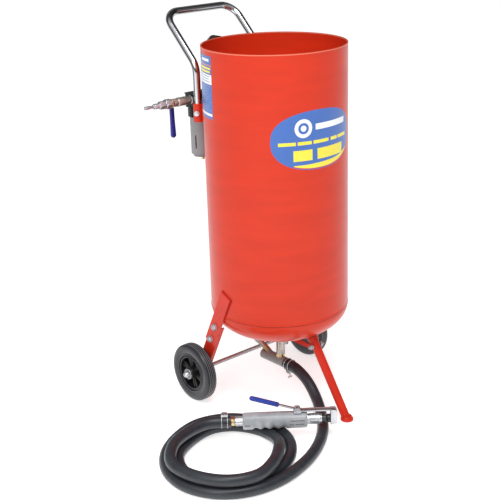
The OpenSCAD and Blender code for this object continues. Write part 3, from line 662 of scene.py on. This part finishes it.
def add_gun_panels():
    """The raised clip outlines and end bands moulded on the grip."""
    for side, name in ((-1, "near"), (1, "far")):
        side_outline(150, 6.5, 38, 1.6, side, f"gun_clip_top_{name}")
        side_outline(134, -4.5, 12, 1.6, side, f"gun_clip_rear_{name}")
        side_outline(156, -4.5, 24, 1.6, side, f"gun_clip_low_{name}")
        side_outline(12, -4, 16, 1.8, side, f"gun_heel_rib_{name}")
    band = stepped([(-0.4, 3.2, 20.6)], bore=9.6, edge=0.8)
    mesh_piece("gun_front_band", shifted(band, z=174), "machine", "zinc", place=ALONG)


def knurls(count, radius, start, rib):
    """Copies of a rib set round Z at a radius, from a start along it."""
    return [placed(rib, rotate(360 * k / count) @ move(radius, 0, start)) for k in range(count)]


def add_gun_fittings():
    """Brass stem, coupling, nozzle holder and nozzle."""
    stem = hexagon(21, 10.5, start=-32.9)
    mesh_piece("gun_brass_stem", stem, "machine", "brass", place=ALONG)
    coupling = merge(
        stepped([(-61, -33, 9.3)], bore=6.5),
        stepped([(-22, -19, 12.4), (-19, -2, 13.5), (-2, 0.5, 14.4)], bore=6.5, edge=0.9),
    )
    piece = mesh_piece("gun_coupling_sleeve", coupling, "machine", "zinc", place=ALONG)
    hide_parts("gun_coupling")
    steps = [(176.1, 181, 14.2), (181, 184, 15.0), (184, 210, 14.6), (210, 213, 15.0), (213, 217, 13.4)]
    holder = merge(
        stepped(steps, bore=11.1, edge=0.8),
        *knurls(36, 14.8, 185, prism(box_outline(1.2, 0.9), 24, edge=0)),
    )
    nut = mesh_piece("nozzle_holder", holder, "machine", "zinc", place=ALONG)
    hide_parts("nozzle_nut")
    tip = [(9.0, 188), (11.0, 188), (11.0, 228), (8.5, 231), (3.0, 231), (3.0, 212)]
    tube = turned(rounded(tip, 0.7, 3), 48)
    nozzle = mesh_piece("nozzle_ceramic", tube, "machine", "ceramic", place=ALONG)
    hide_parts("nozzle")


def channel(x0, x1, width, z_top, drop, thick=1.6):
    """A folded steel channel along X, open below."""
    x = (x0 + x1) / 2
    top = shifted(prism(box_outline(x1 - x0, width), thick, edge=0.4), x=x, z=z_top - thick)
    wall = prism(box_outline(x1 - x0, thick), drop, edge=0.4)
    offset = (width - thick) / 2
    return merge(top, *[shifted(wall, x=x, y=side * offset, z=z_top - drop) for side in (-1, 1)])


def add_gun_lever():
    """The folded lever: a channel from the pivot to the closing head, and a bar back to the grip."""
    head = [(241, -14.6), (257.5, -11), (259, 26), (255, 29.6), (241, 30)]
    block = placed(prism(head, 25.6, edge=1.2), move(y=12.8) @ rotate(90, "X"))
    near, far = Vector((94, 0, 48)), Vector((PIVOT_X, 0, PIVOT_Z))
    bar = far - near
    rear = placed(
        shifted(prism(box_outline(bar.length + 6, 10), 4.0, edge=0.6), x=bar.length / 2, z=-2),
        facing(near * MM, Vector((-bar.z, 0, bar.x)), (bar.x, 0, bar.z)),
    )
    knuckle = placed(stepped([(-8.8, 8.8, 6.2)], bore=3.0, edge=0.6), facing(far * MM, (0, 1, 0)))
    lever = merge(channel(143, 243, 16.4, 30.2, 4.6), rear, knuckle, block)
    piece = mesh_piece("gun_lever_steel", lever, "gun_trigger", "zinc", LEVER_STEEL, place=GUN)
    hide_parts("gun_lever")
    start, stop = Vector((99, 0, 46)), Vector((20, 0, 70.5))
    grip = grip_sections((stop - start).length, (14.5, 15.5, 14.0), (12.0, 12.5, 12.0))
    sleeve = mesh_piece(
        "gun_lever_sleeve", loft(grip), "gun_trigger", "gun_blue",
        place=GUN @ facing(start * MM, stop - start, (0, 1, 0)), sharp=50,
    )
    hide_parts("gun_lever_grip")
    pad = shifted(stepped([(0, 9.6, 12.0)], edge=1.4), z=231.4)
    rubber = mesh_piece("gun_closing_pad", pad, "gun_trigger", "seal", place=ALONG)
    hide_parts("gun_lever_pad")
    insert = prism([(241.5, -14.9), (256.5, -11.6), (256.5, -9), (241.5, -11)], 22, edge=0.5)
    mesh_piece(
        "gun_head_rubber", insert, "gun_trigger", "seal",
        place=GUN @ move(y=11) @ rotate(90, "X"),
    )


def wire_clamp(degrees):
    """Two wire bands and a screw housing, about Z."""
    bands = [shifted(ring_bar(17.5, 1.2), z=z) for z in (-8, 8)]
    bands += [shifted(ring_bar(16.4, 0.5), z=z) for z in (-8, 8)]
    house = shifted(prism(box_outline(7.4, 15), 19, edge=1.0), x=20.6, z=-9.5)
    plate = shifted(prism(box_outline(1.6, 18), 14, edge=0.5), x=24.6, z=-7)
    screw = placed(stepped([(-9.5, 9.5, 2.6)], edge=0.8), facing(Vector((21, 0, 0)) * MM, (0, 1, 0)))
    return placed(merge(*bands, house, plate, screw), rotate(degrees))


def add_clamps():
    """The clamp at the gun, and the one with a wing screw under the tee."""
    gun_clamp = placed(shifted(wire_clamp(180), z=-50), ALONG)
    piece = mesh_piece("gun_clamp_wires", gun_clamp, "machine", "zinc")
    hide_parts("gun_clamp")
    about = facing(TEE_CLAMP, (0, 1, 0), (0, 0, -1))
    screw = placed(stepped([(24, 37, 2.4)], edge=0.5), facing((0, 0, 0), (1, 0, 0)))
    leaf = shifted(prism(slot_outline(9, 7), 2.2, edge=0.7), z=-1.1)
    wings = [placed(leaf, move(x=36) @ rotate(side * 55)) for side in (-1, 1)]
    tee_clamp = placed(merge(wire_clamp(0), screw, *wings), about)
    piece = mesh_piece("tee_clamp_wires", tee_clamp, "machine", "zinc")
    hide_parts("hose_clamp")


add_gun_body()
add_gun_panels()
add_gun_fittings()
add_gun_lever()
add_clamps()


def declare_cord():
    """Gathers the gun's pieces, its clamp, the nozzle parts and the pivot pin into a list, which nothing
    uses.
    """
    ours = [o for o in bpy.data.objects if o.name not in frame["nodes"]]
    pieces = [o for o in ours if o.name.startswith(("gun_", "nozzle_"))]
    pieces.append(frame["nodes"]["gun_pivot_pin"])


declare_cord()


# ---- tank ----

WALL = 3.0
tank_r = TANK_R / MM
rim_z = RIM_Z / MM
seam_z = SEAM_Z / MM


def add_tank_details():
    """The rim's rolled edge, the lap and weld of the bottom head, the long seam and the hopper's weld."""
    rim = shifted(ring_bar(tank_r - WALL / 2, 2.1, 160), z=rim_z - 2.1)
    # The rolled rim takes the lighter red: painted highlight.
    mesh_piece("tank_rim_edge", rim, "machine", "tank_paint", RIM_PAINTED_HIGHLIGHT, place=ON_AXIS)
    lip = [(tank_r - 1, 0), (tank_r + 0.9, 0.5), (tank_r + 1.1, 3.0), (tank_r + 0.2, 5.5), (tank_r - 1, 6)]
    lap = shifted(turned(lip, 160), z=seam_z)
    mesh_piece("tank_bottom_lap", lap, "machine", "tank_paint", place=ON_AXIS)
    bead = shifted(ring_bar(tank_r - 0.4, 1.3, 160), z=seam_z - 0.6)
    mesh_piece("tank_bottom_weld", bead, "machine", "tank_paint", SEAM_SHADOW, place=ON_AXIS)
    angle = math.radians(62)
    x, y = (tank_r - 0.3) * math.cos(angle), (tank_r - 0.3) * math.sin(angle)
    seam = [at_tank(x, y, seam_z + 6), at_tank(x, y, rim_z - 4)]
    rod("tank_long_weld", seam, 1.4 * MM, "machine", "tank_paint")
    hopper_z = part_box("hopper_head")[1].z / MM
    inside = shifted(ring_bar(tank_r - WALL - 0.2, 1.6, 160), z=hopper_z + 0.4)
    mesh_piece("hopper_weld", inside, "machine", "tank_paint", place=ON_AXIS)


def weld_along(name, path, radius, ripple):
    """A bead of weld with its ripples, through points in metres."""
    lengths = [0.0]
    for a, b in zip(path, path[1:]):
        lengths.append(lengths[-1] + (b - a).length)
    count = max(int(lengths[-1] / (ripple * MM)), 2)
    sections = []
    angles = [2 * math.pi * s / 10 for s in range(10)]
    for i in range(count * 4 + 1):
        want = lengths[-1] * i / (count * 4)
        k = max(j for j in range(len(path) - 1) if lengths[j] <= want + 1e-9)
        along = (path[k + 1] - path[k]).normalized()
        centre = path[k] + along * (want - lengths[k])
        swell = radius * MM * (0.82 + 0.22 * abs(math.sin(math.pi * i / 4)))
        place = facing(centre, along, UP)
        sections.append([place @ Vector((swell * math.cos(a), swell * math.sin(a), 0)) for a in angles])
    # Every bead takes the darker red: painted shade along the weld.
    mesh_piece(name, loft(sections), "machine", "leg_paint", WELD_PAINTED_SHADE, sharp=60)


LEG_TOP = (-2.5, 357.5)
LEG_DIRECTION = Vector((0, 0.4377, -0.8992))
LEG_ACROSS = Vector((0, 0.8992, 0.4377))
LEG_W = 41.0
LEG_BOLTS = (122, 170.5)
FRONT_LEG_TILT = math.radians(33.2)
FRONT_BOLT_START = at_tank(-28, -152.5, 190)
HEAD_DEPTH = 100


def add_leg_welds():
    """Beads down both edges and across the top of each rear leg plate."""
    for side, name in ((-1, "left"), (1, "right")):
        top = at_tank(side * (tank_r + 0.4), *LEG_TOP)

        def on_tank(point):
            """Slides a point sideways until it lies on the tank's wall."""
            y = (point.y - TANK_Y) / MM
            return Vector((side * math.sqrt(tank_r**2 - y * y) * MM, point.y, point.z))

        for edge, way in (("front", -1), ("rear", 1)):
            start = top + LEG_ACROSS * (way * (LEG_W / 2 + 0.6) * MM)
            stop = start + LEG_DIRECTION * (64 + way * 10) * MM
            path = [on_tank(start.lerp(stop, k / 10)) for k in range(11)]
            weld_along(f"{name}_leg_{edge}_weld", path, 2.6, 5.0)
        ends = [top + LEG_ACROSS * (way * LEG_W / 2 * MM) - LEG_DIRECTION * 0.5 * MM for way in (-1, 1)]
        path = [on_tank(ends[0].lerp(ends[1], k / 8)) for k in range(9)]
        weld_along(f"{name}_leg_top_weld", path, 2.4, 5.0)


def add_front_leg_welds():
    """A ripple weld where the front socket meets the bottom head."""
    centre = (middle("front_leg_socket").y - TANK_Y) / MM + 5 * math.sin(FRONT_LEG_TILT)
    path = []
    for k in range(25):
        a = 2 * math.pi * k / 24
        x, y = 15.8 * math.cos(a), centre + 18.0 * math.sin(a)
        z = seam_z - HEAD_DEPTH * math.sqrt(max(1 - (x * x + y * y) / tank_r**2, 0))
        path.append(at_tank(x, y, z - 0.4))
    weld_along("front_leg_head_weld", path, 2.4, 5.0)


add_tank_details()
add_leg_welds()
add_front_leg_welds()


# ---- handle ----

SOCKET_X, SOCKET_Y, SOCKET_Z = 125.5, 186, 840
HANDLE_R = 10.5 * MM
BEND_Z = 0.971


def add_handle():
    """One bent chrome tube, from socket to socket."""
    low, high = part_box("handle_tube")
    x = high.x - HANDLE_R
    front, back = low.y + HANDLE_R, high.y - HANDLE_R
    top = high.z - HANDLE_R
    left = [Vector((-x, front, low.z)), Vector((-x, front, BEND_Z)), Vector((-x, back, top))]
    right = [Vector((-p.x, p.y, p.z)) for p in left]
    path = [
        left[0],
        *round_corner(left[0], left[1], left[2], 0.055),
        *round_corner(left[1], left[2], right[2], 0.047, 18),
        *round_corner(left[2], right[2], right[1], 0.047, 18),
        *round_corner(right[2], right[1], right[0], 0.055),
        right[0],
    ]
    bar = rod("handle_bar", path, HANDLE_R, "machine", "handle_chrome", sides=10)
    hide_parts("handle_tube")


def washer(start, thick, radius, edge=0.4):
    """A washer, or the low dome on a bolt's end, from a start along Z."""
    return shifted(stepped([(0, thick, radius)], edge=edge), z=start)


def add_handle_bolts():
    """A bolt and a domed lock nut through each socket."""
    shapes = []
    for side in (-1, 1):
        centre = at_tank(side * SOCKET_X, SOCKET_Y, SOCKET_Z)
        place = facing(centre, (side * SOCKET_Y, -SOCKET_X, 0), UP)
        nut = merge(
            stepped([(-16, 14, 4.0)]),
            washer(14.2, 1.6, 8.0, edge=0.5),
            hexagon(13, 5, start=15.8),
            washer(20.6, 2.2, 4.6, edge=1.8),
            hexagon(13, 5, start=-19.2),
        )
        shapes.append(placed(nut, place))
    bolts = mesh_piece("handle_lock_bolts", merge(*shapes), "machine", "zinc")
    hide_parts("handle_bolts")


add_handle()
add_handle_bolts()


# ---- wheels ----

WHEEL_R = 86.5
TREAD_RIBS = (9.3, 3.1, -3.1, -9.3)


def tyre_outline():
    """A solid rubber tyre's section: bead, ringed wall and grooved tread, then the wall mirrored."""
    wall = [
        (54.2, 13.6), (55.0, 15.8), (56.6, 16.6), (58.2, 16.2), (59.2, 15.4), (60.6, 15.4),
        (64.0, 16.8), (69.0, 17.8), (74.0, 18.0), (78.0, 17.2), (81.6, 16.0), (84.2, 14.4), (85.7, 12.4),
    ]
    tread = []
    for centre in TREAD_RIBS:
        crown = WHEEL_R - 0.0055 * centre * centre
        tread += [
            (crown, centre + 1.9), (crown - 0.9, centre + 1.3), (crown - 3.2, centre + 1.1),
            (crown - 3.2, centre - 1.1), (crown - 0.9, centre - 1.3), (crown, centre - 1.9),
        ]
    return wall + tread + [(r, -z) for r, z in reversed(wall)]


def spoke(angle):
    """One fan-shaped spoke: narrow at the boss and wide at the rim, with a raised rib."""
    blade = prism([(13, -4.5), (30, -6.5), (50, -12), (50, 12), (30, 6.5), (13, 4.5)], 12, edge=1.0)
    rib = shifted(prism([(13, -1.6), (49.5, -1.2), (49.5, 1.2), (13, 1.6)], 3.5, edge=0.5), z=10.8)
    return placed(merge(shifted(blade, z=-5), shifted(rib, z=-5)), rotate(angle))


def add_wheel(name, side):
    """Tyre and hub about the axle, with the outer face away from the tank."""
    centre = joint_place(f"{name}_wheel_spin")
    place = facing(centre, (side, 0, 0), UP)
    body = f"{name}_wheel"
    rubber = turned(tyre_outline(), 128)
    tyre = mesh_piece(f"{name}_tyre_rubber", rubber, body, "tyre", place=place, sharp=32)
    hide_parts(f"{name}_tyre")
    # Lighter rings in the tread grooves: painted highlight on the ribs.
    ribs = merge(*[shifted(ring_bar(WHEEL_R - 1.3, 1.1, 96), z=z) for z in reversed(TREAD_RIBS)])
    mesh_piece(f"{name}_tread_ribs", ribs, body, "tyre", TREAD_PAINTED_HIGHLIGHT, place=place)
    lip = [
        (54.1, -14), (48.6, -15.5), (47.2, -12), (49.0, -6), (49.0, 6), (47.0, 12.0),
        (46.6, 15.2), (48.4, 16.6), (50.4, 16.0), (51.4, 14.6), (54.1, 14),
    ]
    boss = [(6.1, -19), (13.5, -19), (14.5, -8), (17, -4), (17, 20.5), (14.5, 24), (6.1, 24)]
    web = stepped([(-11, -9, 49.5)], bore=15, edge=0.4, steps=96)
    hub = merge(
        web,
        turned(rounded(lip, 0.8, 3), 128),
        turned(rounded(boss, 1.0, 3), 64),
        *[spoke(60 * k + 12) for k in range(6)],
    )
    hub_piece = mesh_piece(f"{name}_hub_moulding", hub, body, "hub_black", place=place)
    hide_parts(f"{name}_hub")


def add_axle_ends():
    """A broad washer and a domed nut on each end of the axle."""
    shapes = []
    cap_l = 15.2
    for side in (-1, 1):
        centre = middle("axle_caps")
        centre.x = side * (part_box("axle_caps")[1].x - cap_l * MM)
        dome = [(0.3, 7.5), (9.0, 7.5), (8.4, 10.5), (6.2, 13.3), (3.2, 14.8), (0.3, cap_l)]
        cap = merge(
            stepped([(0, 2.0, 16.0)], bore=6.2, edge=0.6),
            hexagon(19, 6, start=2.0),
            turned(dome, 48),
        )
        shapes.append(placed(cap, facing(centre, (side, 0, 0), UP)))
    ends = mesh_piece("axle_end_nuts", merge(*shapes), "machine", "zinc")
    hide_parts("axle_caps")


add_wheel("left", -1)
add_wheel("right", 1)
add_axle_ends()


def add_leg_bolts():
    """Two bolts through each rear leg, and the long bolt through the front leg."""
    shapes = []
    for side in (-1, 1):
        top = at_tank(side * tank_r, *LEG_TOP)
        for down in LEG_BOLTS:
            centre = top + LEG_DIRECTION * down * MM
            bolt = merge(
                stepped([(-12, 8, 5.0)]),
                washer(6.1, 1.5, 10.0),
                hexagon(16, 6, start=7.6),
                washer(13.2, 1.8, 5.0, edge=1.4),
                hexagon(16, 8, start=-11.4),
            )
            shapes.append(placed(bolt, facing(centre, (side, 0, 0), UP)))
    through = merge(
        stepped([(0, 56, 4.0)], edge=0.6),
        hexagon(13, 6, start=5),
        hexagon(13, 6, start=43.5),
        washer(41.9, 1.6, 8.0),
        washer(11.0, 1.6, 8.0),
    )
    shapes.append(placed(through, facing(FRONT_BOLT_START, (1, 0, 0), UP)))
    bolts = mesh_piece("leg_bolt_set", merge(*shapes), "machine", "zinc")
    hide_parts("leg_bolts")


add_leg_bolts()


# ---- inlet valve and plug ----

VALVE = joint_place("inlet_valve_turn")
PORT_X = -102.0


def add_inlet_line():
    """The ball valve, its seal and brass ring, and the coupler plug, along the inlet's axis."""
    line = facing(Vector((PORT_X * MM, VALVE.y, VALVE.z)), (-1, 0, 0), UP)
    seal = stepped([(-0.4, 2.4, 12.0)], bore=6.0, edge=0.8)
    mesh_piece("inlet_seal_ring", seal, "machine", "filter_white", place=line)
    body = merge(
        hexagon(21, 15, start=1.2),
        stepped([(15.5, 17.5, 11.5), (17.5, 47.5, 13.0), (47.5, 49.5, 11.5)], edge=1.6),
        hexagon(21, 15.5, start=49),
        placed(
            stepped([(0, 17.0, 7.0)], edge=0.8),
            facing(Vector((0, 0, 32.5 * MM)), line.inverted().to_3x3() @ Vector((0, 1, 0))),
        ),
    )
    valve = mesh_piece("inlet_valve_casting", body, "machine", "nickel", place=line)
    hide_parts("inlet_valve_body")
    ring = stepped([(64.8, 71.0, 12.6)], bore=5, edge=1.2)
    mesh_piece("inlet_brass_ring", ring, "machine", "brass", place=line)
    plug = merge(
        hexagon(26, 20, start=71.2),
        hexagon(21, 20, start=91.0),
        stepped([(111, 113, 9.4), (113, 129, 8.0), (129, 133.2, 6.0)], edge=0.8),
        stepped([(133.2, 143.2, 4.0), (143.2, 161.0, 5.0)], edge=0.9, bore=2.8),
    )
    plug_piece = mesh_piece("coupler_plug", plug, "machine", "zinc", place=line)
    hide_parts("quick_plug")
    ridges = merge(*[shifted(ring_bar(7.5, 0.5, 40), z=z) for z in (115, 118, 121, 124, 127)])
    mesh_piece("coupler_plug_ridges", ridges, "machine", "zinc", place=line)


def add_inlet_lever():
    """A flat zinc lever with a dipped grip, hanging beside the valve when it is shut."""
    pivot = VALVE + Vector((0, 19.5, 0)) * MM
    outline = [
        (5.2, 5.2), (0, 7.2), (-14.6, 13.6), (-14.8, 26), (-25.2, 26),
        (-25.0, 7.0), (-5.2, -5.6), (0, -7.2), (5.2, -5.2), (7.2, 0),
    ]
    blade = placed(prism(outline, 2.5, edge=0.5), facing((0, 0, 0), (0, 1, 0), (1, 0, 0)))
    lever = placed(blade, Matrix.Translation(pivot))
    nut = placed(hexagon(10, 4), facing(pivot + Vector((0, 2.5, 0)) * MM, (0, 1, 0)))
    stud = placed(stepped([(0, 8.5, 3.9)], edge=0.6), facing(pivot, (0, 1, 0)))
    piece = mesh_piece("inlet_lever_blade", merge(lever, nut, stud), "inlet_handle", "zinc")
    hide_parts("inlet_lever")
    grip = grip_sections(90, (15.0, 14.0, 19.0), (9.5, 8.5, 11.0))
    start = facing(pivot + Vector((-21, 1.25, -16.4)) * MM, (0.02, 0, -1), (1, 0, 0))
    grip_piece = mesh_piece(
        "inlet_lever_sleeve", loft(grip), "inlet_handle", "lever_blue", place=start, sharp=50
    )
    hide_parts("inlet_lever_grip")


add_inlet_line()
add_inlet_lever()


# ---- labels ----


def wrapped(name, start, stop, low, high, proud, material, steps=72):
    """A thin label on the tank's wall between two angles; low and high give its edges across it."""
    inner, outer = tank_r + 0.02, tank_r + proud
    rings = []
    for i in range(steps + 1):
        t = i / steps
        a = math.radians(start + (stop - start) * t)
        corners = ((inner, low(t)), (outer, low(t)), (outer, high(t)), (inner, high(t)))
        rings.append([at_tank(r * math.cos(a), r * math.sin(a), z) for r, z in corners])
    mesh_piece(name, loft(rings), "machine", "tank_paint", material, sharp=30)


def bar_on_tank(name, start, stop, bottom, top, proud, material, steps=40):
    """A label's bar with level edges."""
    wrapped(name, start, stop, lambda t: bottom, lambda t: top, proud, material, steps)


def oval(centre, half, start=0.0, stop=1.0):
    """An oval's lower and upper edges across the part of it between two fractions of its width."""
    power = 2.3

    def height(t):
        u = 2 * (start + (stop - start) * t) - 1
        return half * max(1 - abs(u) ** power, 0) ** (1 / power) + 0.02

    return lambda t: centre - height(t), lambda t: centre + height(t)


FRONT_LABEL = (-136.5, -57.5)
FRONT_Z = 809.0
FRONT_LINES = ((-130.5, -117), (-115.5, -104), (-102.5, -88), (-85.5, -78), (-76.5, -64))
FRONT_BLOCKS = ((-119, -103.5), (-99, -70.5))
DISC_ANGLE, DISC_Z = -110.7, 843
SIDE_LABEL = (144.5, 171.5)


def front_angle(fraction):
    return FRONT_LABEL[0] + (FRONT_LABEL[1] - FRONT_LABEL[0]) * fraction


def disc_on_tank(name, radius, proud, material):
    """A round mark on the wall."""
    spread = math.degrees(radius / tank_r)

    def half(t):
        return radius * math.sqrt(max(1 - (2 * t - 1) ** 2, 0)) + 0.01

    wrapped(
        name, DISC_ANGLE - spread, DISC_ANGLE + spread,
        lambda t: DISC_Z - half(t), lambda t: DISC_Z + half(t), proud, material, 40,
    )


def add_front_label():
    """A plain blue oval with a pale disc, bars where lettering would be, and a yellow and red swoosh."""
    low, high = oval(FRONT_Z, 80.0)
    wrapped("front_label_edge", *FRONT_LABEL, low, high, 0.15, LABEL_BLUE, 120)
    low, high = oval(FRONT_Z, 77.8)
    inner = (FRONT_LABEL[0] + 0.8, FRONT_LABEL[1] - 0.8)
    wrapped("front_label_field", *inner, low, high, 0.25, LABEL_BLUE, 120)
    part = (0.22, 0.93)
    sweep = [front_angle(fraction) for fraction in part]
    edge = oval(FRONT_Z, 76.5, *part)[0]

    def crest(t):
        return edge(t) + 1.2 + 13 * math.sin(math.pi * t) ** 0.6

    def meeting(t):
        return edge(t) + 1.0

    wrapped("front_label_swoosh", *sweep, meeting, crest, 0.35, LABEL_YELLOW, 90)
    wrapped("front_label_underline", *sweep, lambda t: edge(t) - 1.2, meeting, 0.35, LABEL_RED, 90)
    disc_on_tank("front_label_disc", 25.0, 0.35, LABEL_WHITE)
    disc_on_tank("front_label_dot", 15.0, 0.45, LABEL_BLUE)
    disc_on_tank("front_label_centre", 8.0, 0.55, LABEL_WHITE)
    bar_on_tank("front_label_title_bar", -100.5, -66.5, 836, 852, 0.35, LABEL_WHITE)
    for k, ends in enumerate(FRONT_LINES):
        bar_on_tank(f"front_label_line_{k}", *ends, 799, 808, 0.35, LABEL_YELLOW, 16)
    for k, ends in enumerate(FRONT_BLOCKS):
        bar_on_tank(f"front_label_block_{k}", *ends, 756, 785, 0.35, LABEL_YELLOW, 24)


def side_rows(kind, zs, height, proud, material, insets, steps):
    """Bars across the side label, one above another, whose right ends are set in by turns."""
    left, right = SIDE_LABEL
    for k, z in enumerate(zs):
        end = right - insets[k % len(insets)]
        bar_on_tank(f"side_label_{kind}_{k}", left + 3, end, z, z + height, proud, material, steps)


def add_side_label():
    """A plain instruction label: blue ends, an orange line, pale and yellow bars."""
    left, right = SIDE_LABEL
    bar_on_tank("side_label_field", left, right, 854, 1023, 0.2, LABEL_BLUE)
    bar_on_tank("side_label_head", left, right, 1001, 1023, 0.3, LABEL_BLUE)
    bar_on_tank("side_label_title", left + 9, right - 3.2, 1008, 1015, 0.4, LABEL_WHITE, 30)
    bar_on_tank("side_label_line", left, right, 997, 999.5, 0.35, LABEL_ORANGE)
    side_rows("row", (987, 978), 5.5, 0.35, LABEL_YELLOW, (1.2, 2.2), 30)
    bar_on_tank("side_label_panel", left, right, 948, 974, 0.3, LABEL_WHITE)
    notes = [968 - 7 * k for k in range(3)]
    side_rows("note", notes, 1.8, 0.38, LABEL_PALE_BLUE, (2.5, 4.5), 24)
    text = [941 - 7.2 * k for k in range(10)]
    side_rows("text", text, 2.2, 0.3, LABEL_PALE_BLUE, (2, 3.6, 5.2), 24)
    bar_on_tank("side_label_foot", left, right - 0.8, 862, 869, 0.35, LABEL_WHITE)


add_front_label()
add_side_label()


# ---- small details ----


def add_gauge_details():
    """A bright bezel and the dial's ticks."""
    centre = middle("gauge_dial")
    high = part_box("gauge_case")[1]
    face = facing(Vector((centre.x, high.y, centre.z)), (0, 1, 0), UP)
    bezel = [(22.4, -0.4), (22.4, -2.6), (25.2, -2.6), (25.2, 0.2), (24.0, 1.0)]
    mesh_piece("gauge_bezel", turned(rounded(bezel, 0.5, 3), 64), "machine", "handle_chrome", place=face)
    ticks = []
    for k in range(31):
        long = k % 5 == 0
        tick = prism(box_outline(3.4 if long else 1.8, 0.5 if long else 0.3), 0.15, edge=0)
        reach = 19.0 - (1.7 if long else 0.9)
        ticks.append(placed(tick, rotate(225 - 270 * k / 30) @ move(x=reach)))
    dial_front = Vector((centre.x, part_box("gauge_dial")[1].y, centre.z))
    across = facing(dial_front, (0, 1, 0), (-1, 0, 0))
    mesh_piece("gauge_ticks", merge(*ticks), "machine", "black_enamel", place=across)


def add_filler_cap():
    """A turned cap with a tee handle."""
    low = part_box("filler_cap")[0]
    place = Matrix.Translation(Vector((0, TANK_Y, low.z)))
    cap = [
        (38.4, 0), (45, 0), (45, 21), (43, 25), (14, 25),
        (12, 28), (11, 52), (0.5, 52), (0.5, 20), (38.4, 20),
    ]
    bar_end = [(0.3, 0), (5.2, 0), (6.0, 4), (5.4, 52)]
    bar_l = 110
    outline = bar_end + [(r, bar_l - z) for r, z in reversed(bar_end)]
    bar = placed(turned(rounded(outline, 1.2, 3), 32), facing(Vector((-bar_l / 2, 0, 52)) * MM, (1, 0, 0)))
    grips = knurls(24, 43.9, 1, prism(box_outline(2.5, 4.0), 20, edge=0.6))
    casting = merge(turned(rounded(cap, 1.2, 3), 96), bar, *grips)
    piece = mesh_piece("filler_cap_casting", casting, "filler_lid", "zinc", place=place)
    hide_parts("filler_cap")


add_gauge_details()
add_filler_cap()


# ---- floor and light ----


def add_floor():
    """A white floor that gives off a little light, so that it runs into the white behind it."""
    size = 40.0
    mesh = bpy.data.meshes.new("studio_floor")
    corners = [(-size, -size, 0), (size, -size, 0), (size, size, 0), (-size, size, 0)]
    mesh.from_pydata(corners, [], [(0, 1, 2, 3)])
    floor = bpy.data.objects.new("studio_floor", mesh)
    bpy.context.scene.collection.objects.link(floor)
    mat = surface("studio_floor", (0.92, 0.92, 0.92), rough=0.8)
    shader = tree(mat)[2]
    shader.inputs["Emission Color"].default_value = (1, 1, 1, 1)
    shader.inputs["Emission Strength"].default_value = 0.62
    mesh.materials.append(mat)


def add_lamp(name, place, target, size, power):
    data = bpy.data.lights.new(name, "AREA")
    data.shape = "DISK"
    data.size = size
    data.energy = power
    lamp = bpy.data.objects.new(name, data)
    bpy.context.scene.collection.objects.link(lamp)
    direction = Vector(target) - Vector(place)
    aim = direction.to_track_quat("-Z", "Y").to_matrix().to_4x4()
    lamp.matrix_world = Matrix.Translation(place) @ aim


STUDIO_BANDS = ((0.44, 0.62), (0.50, 0.05), (0.56, 0.10), (0.64, 0.75), (0.74, 0.30), (0.84, 0.80))


def add_world():
    """White to the camera. Surfaces see a pale studio with dark bands near the horizon, dimmer towards +X."""
    world = bpy.data.worlds.new("studio")
    bpy.context.scene.world = world
    world.use_nodes = True
    nodes, links = world.node_tree.nodes, world.node_tree.links
    background = nodes["Background"]
    place = nodes.new("ShaderNodeTexCoord")
    split = nodes.new("ShaderNodeSeparateXYZ")
    ramp = nodes.new("ShaderNodeValToRGB")
    ramp.color_ramp.elements[0].color = (0.62, 0.62, 0.62, 1)
    ramp.color_ramp.elements[1].color = (0.78, 0.78, 0.80, 1)
    for position, level in STUDIO_BANDS:
        stop = ramp.color_ramp.elements.new(position)
        stop.color = (level, level, level, 1)
    links.new(place.outputs["Generated"], split.inputs["Vector"])
    height = add_node(nodes, "MapRange", From_Min=-1.0)
    links.new(split.outputs["Z"], height.inputs["Value"])
    links.new(height.outputs["Result"], ramp.inputs["Fac"])
    seen = nodes.new("ShaderNodeLightPath")
    mix = nodes.new("ShaderNodeMix")
    mix.data_type = "RGBA"
    links.new(seen.outputs["Is Camera Ray"], mix.inputs[0])
    fall = add_node(nodes, "MapRange", From_Min=-1.0, To_Min=1.25, To_Max=0.25)
    links.new(split.outputs["X"], fall.inputs["Value"])
    shade = nodes.new("ShaderNodeMix")
    shade.data_type = "RGBA"
    shade.blend_type = "MULTIPLY"
    shade.inputs[0].default_value = 1.0
    links.new(ramp.outputs["Color"], shade.inputs[6])
    links.new(fall.outputs["Result"], shade.inputs[7])
    links.new(shade.outputs[2], mix.inputs[6])
    mix.inputs[7].default_value = (1.2, 1.2, 1.2, 1)
    links.new(mix.outputs[2], background.inputs["Color"])
    background.inputs["Strength"].default_value = 0.85


add_floor()
add_world()
add_lamp("key_light", (-3.6, -1.8, 3.2), (0, 0, 0.5), 2.4, 60)
add_lamp("top_light", (-0.9, -1.5, 4.0), (0, 0, 0.9), 1.8, 72)
bpy.context.scene.view_settings.view_transform = "Standard"
